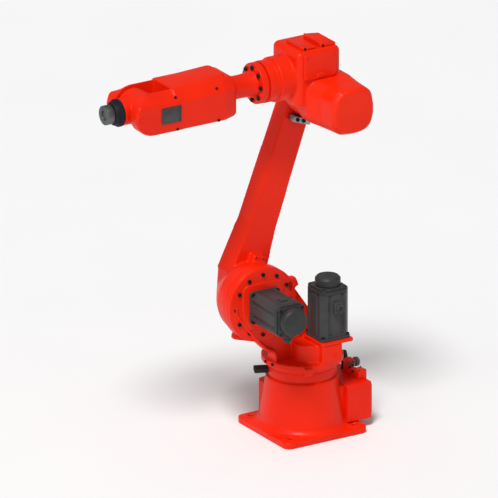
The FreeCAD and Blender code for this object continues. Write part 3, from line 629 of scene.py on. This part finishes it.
def sweptBar(path, halfThick, low, high):
    # a flat bar on edge: at each point of the path, two corners each side of it, at two depths
    along = np.gradient(path, axis=0)
    side = np.column_stack([-along[:, 1], along[:, 0]]) / np.linalg.norm(along, axis=1)[:, None] * halfThick
    corners = [(side, low), (side, high), (-side, high), (-side, low)]
    return np.stack([np.column_stack([(path + off)[:, 0], np.full(len(path), depth), (path + off)[:, 1]])
                     for off, depth in corners], 1)


def makeColumn():  # the turntable's casting with a rim swept along its side, and a lug
    size = column
    rim = sweptBar(alongPath(size["rimPath"], 6), size["rimThick"] / 2, size["rimFar"], size["rimNear"])
    left, right, low, high, far, near = size["lug"]
    lug = roundedBlock((right - left) / 2, (high - low) / 2, 0.010, far, near, 0.004,
                       placeAt(((left + right) / 2, 0, (low + high) / 2), -xAxis, zAxis))
    castPiece("turntable_column", ["turntable_casting", "waist_stop_lug", "shoulder_stop_lug"], "turntable", size,
              [ringSolid(rim, ground), lug])


shoulderRing = {"bolts": 12, "boltCircle": 0.1285, "bolt": 0.0082, "boltTall": 0.006, "edge": 0.003,
                "padEdge": 0.005, "padHalf": 0.098, "padCorner": 0.034}


def makeShoulderRing():  # the bolted ring at the shoulder and the motor's pad
    size = shoulderRing
    low, high, _, half = sidesOf("shoulder_flange")
    place = placeAt((shoulderAt[0], low[1], shoulderAt[2]), zAxis, xAxis)  # raised along the joint's axis
    reach, thick = half[0], high[1] - low[1]
    rim = [(0.002, -0.002), (reach - 0.0015, -0.002), (reach - 0.0015, 0.001), (reach, 0.002), (reach, thick),
           (0.002, thick)]
    madePiece("shoulder_ring", [turnedSolid(rim, place, 128, size["edge"])], "turntable", painted,
              ["shoulder_flange"])
    spots = circleSpots(size["bolts"], size["boltCircle"], thick)
    screwPiece("shoulder_bolts", "turntable", spots, size["bolt"], size["boltTall"], place)
    low, high, _, _ = sidesOf("shoulder_motor_pad")
    half, pad = size["padHalf"], moved(place, out=thick)
    block = roundedBlock(half, half, size["padCorner"], -0.002, high[1] - low[1], size["padEdge"], pad, 8)
    madePiece("motor_pad", [block], "turntable", painted, ["shoulder_motor_pad"])


motor = {"flangeHalf": 0.069, "flangeThick": 0.012, "flangeCorner": 0.016, "bodyHalf": 0.067, "cut": 0.022,
         "grooveFrom": 0.019, "grooveTo": 0.038, "grooveDeep": 0.0058, "bellHalf": 0.060, "bellCut": 0.020,
         "screwAt": 0.058, "screw": 0.0075, "screwTall": 0.007, "earAt": 0.050, "ear": 0.0105, "bandTall": 0.014}


def makeMotor(name, nodes, place, long, capReach, capLong, bodyName):
    # a square servomotor: flange, grooved body, band and bell with ears, round cap
    size = motor
    flange = roundedBlock(size["flangeHalf"], size["flangeHalf"], size["flangeCorner"], 0, size["flangeThick"],
                          0.0015, place)
    section = lambda inset: ribbedSquare(size["bodyHalf"] - inset, size["cut"], size["grooveFrom"], size["grooveTo"],
                                         size["grooveDeep"])
    start = size["flangeThick"]
    end = start + long
    body = ringSolid(stacked(section, softEnds(start - 0.001, end - size["bandTall"], 0.0015, 3)), place)
    collar = roundedBlock(size["flangeHalf"] - 0.004, size["flangeHalf"] - 0.004, 0.021, start, start + 0.010, 0.002,
                          place, 2)
    madePiece(name + "_body", [flange, body, collar], bodyName, motorFinish, [nodes[0]], 30)
    band = roundedBlock(size["bodyHalf"], size["bodyHalf"], size["cut"], end - size["bandTall"], end, 0.002, place, 2)
    half = size["bellHalf"]
    bell = roundedBlock(half, half, size["bellCut"], end - 0.001, end + 0.010, 0.0025, place, 2)
    ears = [turnedSolid([(0.001, end - 0.002), (size["ear"], end - 0.002), (size["ear"], end + 0.007),
                         (size["ear"] - 0.0015, end + 0.0085), (0.001, end + 0.0085)], moved(place, right, up), 24)
            for right, up, _ in cornerSpots(size["earAt"], size["earAt"], 0)]
    top = end + 0.010 + capLong
    cap = turnedSolid([(0.002, end), (capReach - 0.002, end), (capReach - 0.002, end + 0.013),
                       (capReach, end + 0.014), (capReach, top - 0.009), (capReach - 0.008, top),
                       (capReach * 0.72, top), (capReach * 0.70, top - 0.0012), (0.002, top - 0.0012)],
                      place, 80, 0.0012)
    madePiece(name + "_bell", [band, bell, cap] + ears, bodyName, bellFinish, [nodes[1]], 30)
    bolts = screws(cornerSpots(size["screwAt"], size["screwAt"], start), size["screw"], size["screwTall"], place)
    bolts += screws(cornerSpots(size["earAt"], size["earAt"], end + 0.0085), size["ear"] * 0.6, 0.003, place)
    madePiece(name + "_screws", bolts, bodyName, oxideBlack)
    return end


shoulderPlug = {"neck": 0.015, "lidHalf": 0.016}


def makeShoulderMotor():  # the motor on the shoulder's axis and its connector
    rear = sidesOf("shoulder_motor")[0][1]
    place = placeAt((shoulderAt[0], rear, shoulderAt[2]), zAxis, xAxis)  # raised along the joint's axis
    end = makeMotor("shoulder_motor", ("shoulder_motor", "shoulder_motor_encoder"), place, 0.190, 0.058,
                    0.033, "turntable")
    size = shoulderPlug
    low, high, middle, half = sidesOf("shoulder_motor_plug")
    down = placeAt((middle[0], middle[1], high[2]), yAxis, xAxis)  # raised downwards
    long, reach = high[2] - low[2], size["neck"]
    parts = [roundedBlock(half[1], half[0], 0.005, -0.001, long * 0.36, 0.002, down),
             turnedSolid([(0.001, long * 0.3), (reach, long * 0.3), (reach, long * 0.5),
                          (reach + 0.002, long * 0.52), (reach + 0.002, long * 0.72),
                          (reach - 0.001, long * 0.76), (reach - 0.001, long),
                          (reach * 0.6, long), (reach * 0.55, long * 0.86), (0.001, long * 0.86)],
                         down, 48, 0.001)]
    lid = placeAt((shoulderAt[0], place[0][1] + end - 0.060, shoulderAt[2] + motor["bodyHalf"]), xAxis, yAxis)
    parts.append(roundedBlock(size["lidHalf"], size["lidHalf"], 0.004, -0.001, 0.006, 0.0015, lid))
    madePiece("shoulder_motor_connector", parts, "turntable", ("encoder_black", nylon), ["shoulder_motor_plug"])


waistPlug = {"corner": 0.006, "edge": 0.003, "ring": 0.0165, "pin": 0.0022}


def makeWaistMotor():  # the upright motor on its shelf and its connector
    place, wide, deep, tall = raisedUp("waist_motor_plate")
    plate = roundedBlock(wide, deep, 0.014, 0, tall, 0.0022, place)
    madePiece("motor_shelf", [plate], "turntable", coverPainted, ["waist_motor_plate"])
    place = raisedUp("waist_motor")[0]
    makeMotor("waist_motor", ("waist_motor", "waist_motor_encoder"), place, 0.197, 0.052, 0.038, "turntable")
    size, reach = waistPlug, waistPlug["ring"]
    side, wide, tall, deep = raisedLeft("waist_motor_plug")
    box = roundedBlock(wide, tall, size["corner"], -0.001, deep - 0.013, size["edge"], side)
    ring = turnedSolid([(0.001, deep - 0.016), (reach, deep - 0.016), (reach, deep - 0.001),
                        (reach - 0.001, deep), (reach - 0.004, deep), (reach - 0.0045, deep - 0.004),
                        (0.001, deep - 0.004)], side, 48, 0.0006)
    madePiece("waist_motor_connector", [box, ring], "turntable", ("encoder_black", nylon), ["waist_motor_plug"])
    pins = [turnedSolid([(0.0004, deep - 0.006), (size["pin"], deep - 0.006), (size["pin"], deep - 0.001),
                         (size["pin"] * 0.5, deep), (0.0004, deep)], moved(side, *spot), 16)
            for spot in circleSpots(3, 0.0068, 0, 90)]
    madePiece("waist_motor_pins", pins, "turntable", oxideBlack)


columnScrews = {"rimAngles": (-4, 12), "rimZ": 0.311, "rimReach": 0.1655, "rim": 0.0062, "mount": 0.008,
                "mountSpot": (-0.046, 0.357)}


def makeColumnScrews():  # screws on the turntable's rim and mount
    size = columnScrews
    made = []
    for degrees in size["rimAngles"]:
        angle = math.radians(degrees)
        outwardAxis = np.array([math.cos(angle), math.sin(angle), 0])
        place = placeAt(outwardAxis * size["rimReach"] + zAxis * size["rimZ"], np.cross(zAxis, outwardAxis), zAxis)
        made += screws([(0, 0, 0)], size["rim"], 0.005, place)
    madePiece("rim_screws", made, "turntable", oxideBlack)
    face = placeAt((size["mountSpot"][0], 0.172, size["mountSpot"][1]), -xAxis, zAxis)
    madePiece("mount_screw", screws([(0, 0, 0)], size["mount"], 0.004, face), "turntable", painted)


makeColumn()
makeShoulderRing()
makeShoulderMotor()
makeWaistMotor()
makeColumnScrews()
print("turntable made")


upperArm = {"voxel": 0.0042, "soften": 7, "padAt": (0.004, 0.150), "padHalf": (0.029, 0.023), "padThick": 0.036,
            "padHole": 0.0042, "nearY": -0.099, "farCap": 0.066, "farThick": 0.006,
            "root": ((0.290, -0.058, 0.072, -0.103, -0.201), (0.070, -0.076, 0.098, -0.098, -0.206),
                     (0.000, -0.078, 0.081, -0.090, -0.203), (-0.050, -0.066, 0.058, -0.085, -0.192),
                     (-0.095, -0.040, 0.026, -0.085, -0.175))}


def armPlace(right, up, y):  # on the arm's near face, raised towards +Y
    return placeAt(shoulderAt + armFront * right + armUp * up + yAxis * y, armUp, armFront)


def makeUpperArm():  # the beam, its foot over the hub, the pad and the hub's cap
    size = upperArm
    pad = armPlace(*size["padAt"], size["nearY"])
    extras = [roundedBlock(size["padHalf"][1], size["padHalf"][0], 0.006, -0.012, size["padThick"], 0.002, pad)]
    # the beam's foot, carried on over the hub as rounded sections up the arm
    rows = [sectionAt((front - back) / 2, (near - far) / 2, 0.022, (front + back) / 2, (near + far) / 2, up)
            for up, back, front, near, far in size["root"][::-1]]
    extras.append(ringSolid(np.array(rows), (shoulderAt, np.array([armFront, yAxis, armUp]))))
    castPiece("upper_arm_body", ["upper_arm_casting", "upper_arm_stop"], "upper_arm", size, extras)
    holes = screws(cornerSpots(0.012, 0.018, size["padThick"] - 0.001), size["padHole"], 0.0018, pad, 0.7)
    madePiece("arm_pad_screws", holes, "upper_arm", oxideBlack)
    thick, capReach = size["farThick"], size["farCap"]
    right = sidesOf("upper_arm_casting")[0][1]
    back = placeAt((shoulderAt[0], right + thick, shoulderAt[2]), xAxis, zAxis)  # raised towards -Y
    cap = turnedSolid([(0.002, -0.004), (capReach, -0.004), (capReach, thick - 0.001), (capReach - 0.001, thick),
                       (0.002, thick)], back, 80, 0.0006)
    madePiece("hub_cap", [cap], "upper_arm", coverPainted)
    screwPiece("hub_cap_screws", "upper_arm", circleSpots(8, capReach - 0.010, thick - 0.003), 0.0045, 0.003, back)


buffer = {"edge": 0.004, "screw": 0.0085, "screwTall": 0.006, "screwAt": (-0.004, 0.026)}


def makeBuffer():  # the bare block the elbow stops on
    bevelledNode("buffer_block", "elbow_buffer", "upper_arm", bareAluminium, buffer["edge"])
    points, _ = nodeSolid("elbow_buffer")
    middle = (points.max(0) + points.min(0)) / 2
    place = placeAt((middle[0], points[:, 1].max(), middle[2]), armUp, armFront)
    spots = [(0.0, right, 0.0) for right in buffer["screwAt"]]
    screwPiece("buffer_screws", "upper_arm", spots, buffer["screw"], buffer["screwTall"], place)


makeUpperArm()
makeBuffer()
print("upper arm made")


elbow = {"voxel": 0.0034, "soften": 8, "coverTaper": 0.003, "coverEdge": 0.012, "coverCorner": 0.074,
         "root": ((0.000, 0.112, 0.099, 0.018, 0.012), (0.060, 0.112, 0.099, 0.018, 0.012),
                  (0.090, 0.106, 0.098, 0.012, 0.008), (0.130, 0.099, 0.098, 0.004, 0.002),
                  (0.200, 0.0955, 0.0955, 0.000, 0.000))}


def makeElbow():  # the elbow block and its motor's cover as one casting
    size = elbow
    low, high, middle, halves = sidesOf("elbow_motor_cover")
    half, long = halves[0], high[1] - low[1]
    place = placeAt((middle[0], low[1], middle[2]), zAxis, xAxis)
    levels = softEnds(-0.004, long, size["coverEdge"], 6)
    levels[:6] = [[-0.004, 0.0]] * 6
    levels = levels[5:]
    levels[:, 1] += size["coverTaper"] * np.clip(levels[:, 0] / long, 0, 1)
    outline = lambda inset: roundedOutline(half - inset, half - inset, size["coverCorner"] - inset * 0.3, 4)
    cover = ringSolid(stacked(outline, levels), place)
    # the foot of the cover, wide where it leaves the block and drawn in to the cover's own outline
    rows = [sectionAt(tall, wide, 0.060, up, front, out) for out, wide, tall, front, up in size["root"]]
    root = ringSolid(np.array(rows), place)
    body = castPiece("elbow_body", ["elbow_casting"], "elbow", size, [cover, root])
    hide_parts("elbow_motor_cover")


sidePlate = {"edge": 0.004, "corner": 0.012, "screw": 0.006, "boss": 0.020}


def makeElbowCovers():  # the plate on the elbow's left side
    size = sidePlate
    place, wide, tall, thick = raisedLeft("elbow_side_cover")
    plate = roundedBlock(wide, tall, size["corner"], -0.001, thick, size["edge"], place)
    boss = roundedBlock(size["boss"], 0.010, 0.0095, thick - 0.004, thick + 0.003, 0.003,
                        moved(place, 0.004, 0.014 - tall))
    madePiece("elbow_plate", [plate, boss], "elbow", painted, ["elbow_side_cover"])
    spots = cornerSpots(wide - 0.013, tall - 0.011, thick)
    madePiece("elbow_plate_screws", screws(spots, size["screw"], 0.0025, place), "elbow", painted)


caps = {"edge": 0.007, "corner": 0.013, "frontDrop": 0.72, "rearDip": 0.55, "rearSwell": 0.5, "peak": 0.22,
        "frontCut": 0.014, "rearCut": 0.012, "screw": 0.0052, "screwIn": 0.026, "screwUp": 0.007}


def makeCaps():  # the elbow's two caps, each with its own sloping top
    size, made = caps, []
    for name, node in (("cap_rear", "elbow_cap_rear"), ("cap_front", "elbow_cap_front")):
        low, high, _, _ = sidesOf(node)
        place, wide, deep, tall = raisedUp(node)
        cut = size["frontCut"] if name == "cap_front" else size["rearCut"]
        wide, place = wide - cut / 2, moved(place, -cut / 2)
        rings = domed(shrinking(wide, deep, size["corner"], 5e-4), -0.002, tall, size["edge"])
        share = (rings[..., 0] + wide) / (2 * wide)  # 0 at the rear, 1 at the front
        if name == "cap_front":
            keep = 1 - size["frontDrop"] * (1 - np.exp(-((1 - share) / size["peak"]) ** 1.3))
        else:
            keep = 1 - size["rearDip"] * (1 - np.exp(-((1 - share) / size["peak"]) ** 1.3))
            keep += size["rearSwell"] * np.exp(-((share - 0.38) / 0.2) ** 2) - 1.2 * np.clip(0.3 - share, 0, 1)
        rings[..., 2] = np.where(rings[..., 2] > tall / 2, rings[..., 2] * keep, rings[..., 2])
        madePiece(name, [ringSolid(rings, place)], "elbow", painted, [node])
        end = placeAt((high[0] - size["screwIn"], high[1], low[2] + size["screwUp"]), -xAxis, zAxis)  # raised to +Y
        made += screws([(0, 0, -0.001)], size["screw"], 0.0032, end, 0.6)
    madePiece("cap_screws", made, "elbow", oxideBlack)


ring = {"groove": 0.002}


def makeBearingRing():  # the grooved ring ahead of the elbow
    place, reach, long = raisedForward("forearm_bearing_ring", forearmAt)
    cut = ring["groove"]
    profile = [(0.002, -0.002), (reach, -0.002), (reach, 0.010), (reach - cut, 0.011), (reach - cut, 0.013),
               (reach, 0.014), (reach, long), (0.002, long)]
    madePiece("bearing_ring", [turnedSolid(profile, place, 112, 0.0012)], "elbow", painted, ["forearm_bearing_ring"])


makeElbow()
makeElbowCovers()
makeCaps()
makeBearingRing()
print("elbow made")


rollFlange = {"bolts": 8, "boltCircle": 0.068, "bolt": 0.0092, "boltTall": 0.008, "start": 0.0}


def makeRollFlange():  # the bolted flange that turns with the forearm, and a near-black ring in the gap behind it as painted shade of the gap
    place, reach, long = raisedForward("forearm_flange", forearmAt)
    profile = [(0.002, 0.0005), (0.070, 0.0005), (0.070, 0.008), (reach - 0.001, 0.008), (reach, 0.010),
               (reach, long - 0.003), (reach - 0.003, long), (0.002, long)]
    madePiece("roll_flange", [turnedSolid(profile, place, 112, 0.001)], "forearm", painted, ["forearm_flange"])
    spots = circleSpots(rollFlange["bolts"], rollFlange["boltCircle"], long, rollFlange["start"])
    # a near-black ring set into the gap behind the flange: painted shade of the gap
    lip = turnedSolid([(0.066, 0.001), (0.0795, 0.001), (0.0795, 0.007), (0.066, 0.007)],
                      moved(place, out=-0.008), 96, loop=True)
    madePiece("roll_gap_seal", [lip], "forearm", sealAndGapShade)
    screwPiece("roll_flange_bolts", "forearm", spots, rollFlange["bolt"], rollFlange["boltTall"], place)


hump = {"edge": 0.007, "corner": 0.020, "slope": 0.110}


def humpSolid():  # the rise on the forearm's top, its front lowered by a smooth step of the distance from the front
    place, wide, deep, tall = raisedUp("forearm_hump")
    rings = domed(shrinking(wide, deep, hump["corner"], 1e-3, 8), -0.010, tall, hump["edge"])
    fromFront = np.clip((wide - rings[..., 0]) / hump["slope"], 0, 1)
    lowered = tall * (0.1 + 0.9 * fromFront * fromFront * (3 - 2 * fromFront))
    rings[..., 2] = np.minimum(rings[..., 2], lowered)
    return ringSolid(rings, place)


forearm = {"voxel": 0.0032, "soften": 6, "waist": 0.0475, "flare": 0.058, "flareShare": 0.18,
           "mouth": 0.022, "mouthShare": 0.16, "half": 0.1192, "tall": 0.0838,
           "topCut": 0.044, "bottomCut": 0.012, "rearCut": 0.022, "rearLong": 0.060, "rearDrop": 0.007, "edge": 0.010}


def forkOutline(front, inset, top, reach, rear):
    # from the rear, under the arm, round its tip and back along the top, which is held down to the bevel
    angle = np.radians(np.linspace(-90, 90, 25))
    tip = np.column_stack([front + (reach - inset) * np.cos(angle), (reach - inset) * np.sin(angle)])
    outline = np.concatenate([[(rear, inset - reach)], tip, [(rear, reach - inset)]])
    outline[:, 1] = np.minimum(outline[:, 1], top)
    return outline


def makeForearm():  # the neck, the cut-cornered box, two fork arms and the hump as one casting
    size = forearm
    place, _, long = raisedForward("forearm_neck", forearmAt)
    share = np.linspace(0, 1, 40)  # 0 at the flange, 1 at the box
    swell = np.exp(-(share / size["flareShare"]) ** 1.5) * (size["flare"] - size["waist"])
    swell += np.exp(-((1 - share) / size["mouthShare"]) ** 1.6) * size["mouth"]
    profile = np.column_stack([size["waist"] + swell, share * (long + 0.004) - 0.001])
    solids = [turnedSolid(profile, place, 96)]
    # the box: one cut-cornered section, drawn in towards the rear
    low, high, _, _ = sidesOf("forearm_box")
    half, tall, cut, under = size["half"], size["tall"], size["topCut"], size["bottomCut"]
    shape = np.array([(-half, tall - cut), (cut - half, tall), (half - cut, tall), (half, tall - cut),
                      (half, under - tall), (half - under, -tall), (under - half, -tall), (-half, under - tall)])
    back = size["rearLong"]
    stations = [(0.0, size["rearCut"], size["rearDrop"]), (0.012, size["rearCut"] * 0.72, 0.003),
                (back, 0.0, 0.0), (high[0] - low[0], 0.0, 0.0)]
    rings = [np.column_stack([shape * [1 - side / half, 1 - down / tall], np.full(len(shape), along)])
             for along, side, down in stations]
    solids.append(ringSolid(np.array(rings), placeAt((low[0], 0, forearmAt[2]), yAxis, zAxis)))
    inner = sidesOf("fork_arm_left")[0][1]
    for side in (1, -1):
        rows = [(inner, 0.0)] + [(half - size["edge"] * (1 - math.sin(turn)), size["edge"] * (1 - math.cos(turn)))
                                   for turn in np.radians([0, 22, 45, 68, 90])]
        rings = []
        for depth, inset in rows:
            outline = forkOutline(wristAt[0], inset, tall - cut + half - depth, tall - 0.001, high[0] - 0.030)
            rings.append(np.column_stack([outline[:, 0], np.full(len(outline), depth * side),
                                          outline[:, 1] + forearmAt[2]]))
        solids.append(ringSolid(np.array(rings), ground))
    solids.append(humpSolid())
    body = castPiece("forearm_body", [], "forearm", size, solids)
    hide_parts("forearm_box", "fork_arm_left", "fork_arm_right", "forearm_neck", "fork_cover_left",
                "fork_cover_right", "forearm_hump")


forkScrews = {"screw": 0.0062, "tall": 0.003, "upper": (0.468, 0.661), "upperUp": 0.056, "lowerUp": -0.073,
              "tipAt": 0.832, "tip": 0.0135}


def makeForkScrews():  # the fork's screws and the caps at its tips
    size, half = forkScrews, forearm["half"]
    for name, side in (("fork_plate_left", 1), ("fork_plate_right", -1)):
        face = placeAt((0, half * side, forearmAt[2]), -xAxis * side, zAxis)
        made = screws([(-side * x, size["lowerUp"], 0) for x in size["upper"]], size["screw"], size["tall"], face)
        drop = size["upperUp"] - (forearm["tall"] - forearm["topCut"])
        for x in size["upper"]:
            spot = (x, (half - drop) * side, forearmAt[2] + size["upperUp"])
            made += screws([(0, 0, 0)], size["screw"], size["tall"],
                           placeAt(spot, -xAxis * side, (zAxis - yAxis * side) / math.sqrt(2)))
        madePiece(name + "_screws", made, "forearm", oxideBlack)
        tip = size["tip"]
        disc = turnedSolid([(0.001, -0.004), (tip, -0.004), (tip, 0.0008), (tip - 0.001, 0.0018),
                            (tip * 0.62, 0.0018), (tip * 0.58, -0.002), (0.001, -0.002)],
                           moved(face, -side * size["tipAt"]), 40)
        madePiece(name + "_cap", [disc], "forearm", painted)


namePlate = {"down": 0.007, "shorter": 0.003, "corner": 0.004, "rim": 0.004, "rivet": 0.0022}


def makeNamePlate():  # a blank plate with a raised rim and four rivets
    place, wide, tall, thick = raisedLeft("blank_plate")
    place, tall, top = moved(place, up=-namePlate["down"]), tall - namePlate["shorter"], thick * 0.75
    rim, rivet = namePlate["rim"], namePlate["rivet"]
    sheet = roundedBlock(wide, tall, namePlate["corner"], -0.0005, top, 0.0004, place)
    border = stacked(shrinking(wide, tall, namePlate["corner"], 1e-3, 5),
                     [(thick * 0.5, rim), (thick * 0.5, 0.0008), (thick, 0.0012), (thick, rim)])
    rivets = [turnedSolid([(0.0003, 0), (rivet, 0), (rivet * 0.8, 0.0009), (0.0003, 0.0012)], moved(place, *spot), 16)
              for spot in cornerSpots(wide - 0.008, tall - 0.008, top)]
    madePiece("plain_name_plate", [sheet, ringSolid(border, place, loop=True)] + rivets, "forearm", plateFinish,
              ["blank_plate"])


makeRollFlange()
makeForearm()
makeForkScrews()
makeNamePlate()
print("forearm made")


wrist = {"voxel": 0.0024, "soften": 5}


def makeWrist():  # the wrist's casting between the fork arms
    castPiece("wrist_body", ["wrist_casting"], "wrist", wrist)


seal = {"ribs": 24, "ripple": 0.035}


def makeSeal():  # the ribbed ring and the stepped lip round the wrist
    place, reach, long = raisedForward("wrist_seal", wristAt)
    wave = lambda angle: 1 - seal["ripple"] * (0.5 - 0.5 * np.cos(angle * seal["ribs"])) ** 2
    toothed = turnedSolid([(0.002, 0.0), (reach, 0.0), (reach, 0.013), (reach - 0.002, 0.015), (0.002, 0.015)], place,
                          seal["ribs"] * 8, 0.001, wave)
    lip = turnedSolid([(0.002, 0.012), (reach - 0.005, 0.012), (reach - 0.005, 0.018), (reach - 0.008, 0.020),
                       (reach - 0.006, 0.022), (reach - 0.009, 0.026), (reach - 0.008, 0.028), (0.044, long - 0.002),
                       (0.042, long), (0.002, long)], place, 96, 0.0012)
    madePiece("seal_ring", [toothed, lip], "wrist", sealAndGapShade, ["wrist_seal"])


def makeTool():  # the flange that tools bolt to
    bevelledNode("tool_face_flange", "tool_flange", "tool", toolFinish, 0.0008, 2, 60)


makeWrist()
makeSeal()
makeTool()
print("wrist made")


studio = {"aim": (0.252, 0.0, 0.814), "azimuth": 148.1, "elevation": 20.7, "distance": 83.1, "lens": 1500.0,
          "floorReach": 30.0, "world": 0.30, "key": 2.5, "sunSpread": 16.0, "fill": 34.0}


def makeFloor():  # a wide pale ground
    reach = studio["floorReach"]
    mesh = bpy.data.meshes.new("floor")
    mesh.from_pydata([(-reach, -reach, -0.001), (reach, -reach, -0.001), (reach, reach, -0.001),
                      (-reach, reach, -0.001)], [], [(0, 1, 2, 3)])
    finish = Finish("pale_floor")
    finish.set(Base_Color=finish.mix(finish.noise(1.5, 2.0), rgb(0.94, 0.94, 0.94), rgb(0.97, 0.97, 0.97)),
               Roughness=0.75)
    mesh.materials.append(finish.material)
    floor = bpy.data.objects.new("floor", mesh)
    scene.collection.objects.link(floor)


def viewBack(azimuth, elevation):  # from the aim towards the eye
    turn, rise = math.radians(azimuth), math.radians(elevation)
    return np.array([math.sin(turn) * math.cos(rise), -math.cos(turn) * math.cos(rise), math.sin(rise)])


def pointed(thing, azimuth, elevation, distance):  # set at the distance, facing the aim
    back = viewBack(azimuth, elevation)
    thing.location = np.array(studio["aim"]) + back * distance
    thing.rotation_mode = "QUATERNION"
    thing.rotation_quaternion = Vector(-back).to_track_quat("-Z", "Y")
    scene.collection.objects.link(thing)
    return thing


def makeLight(name, azimuth, elevation, distance, side, power):  # a square lamp
    lamp = bpy.data.lights.new(name, "AREA")
    lamp.shape, lamp.size, lamp.energy = "SQUARE", side, power
    pointed(bpy.data.objects.new(name, lamp), azimuth, elevation, distance)


def makeSun(name, azimuth, elevation, spread, power):  # a sun whose disc spans the spread
    lamp = bpy.data.lights.new(name, "SUN")
    lamp.angle, lamp.energy = math.radians(spread), power
    pointed(bpy.data.objects.new(name, lamp), azimuth, elevation, 8.0)


def makeStudio():  # an even sky, one soft sun, one fill and the camera
    world = bpy.data.worlds.new("studio")
    scene.world = world
    world.use_nodes = True
    sky = world.node_tree.nodes["Background"]
    sky.inputs["Color"].default_value = rgb(1.0, 1.0, 1.0)
    sky.inputs["Strength"].default_value = studio["world"]
    makeSun("key", studio["azimuth"] - 15, 60, studio["sunSpread"], studio["key"])
    makeLight("fill", studio["azimuth"] - 40, 18, 6.0, 3.0, studio["fill"])
    lens = bpy.data.cameras.new("camera")
    lens.lens, lens.sensor_width = studio["lens"], 36.0
    lens.clip_start, lens.clip_end = 10.0, 400.0
    scene.camera = pointed(bpy.data.objects.new("camera", lens), studio["azimuth"], studio["elevation"],
                           studio["distance"])
    scene.view_settings.view_transform = "Standard"


makeFloor()
makeStudio()
print("studio made")

for node in frame["nodes"].values():
    if not node.hide_render:
        node.data.materials.clear()
        node.data.materials.append(painted[1])
        print("still plain:", node.name)
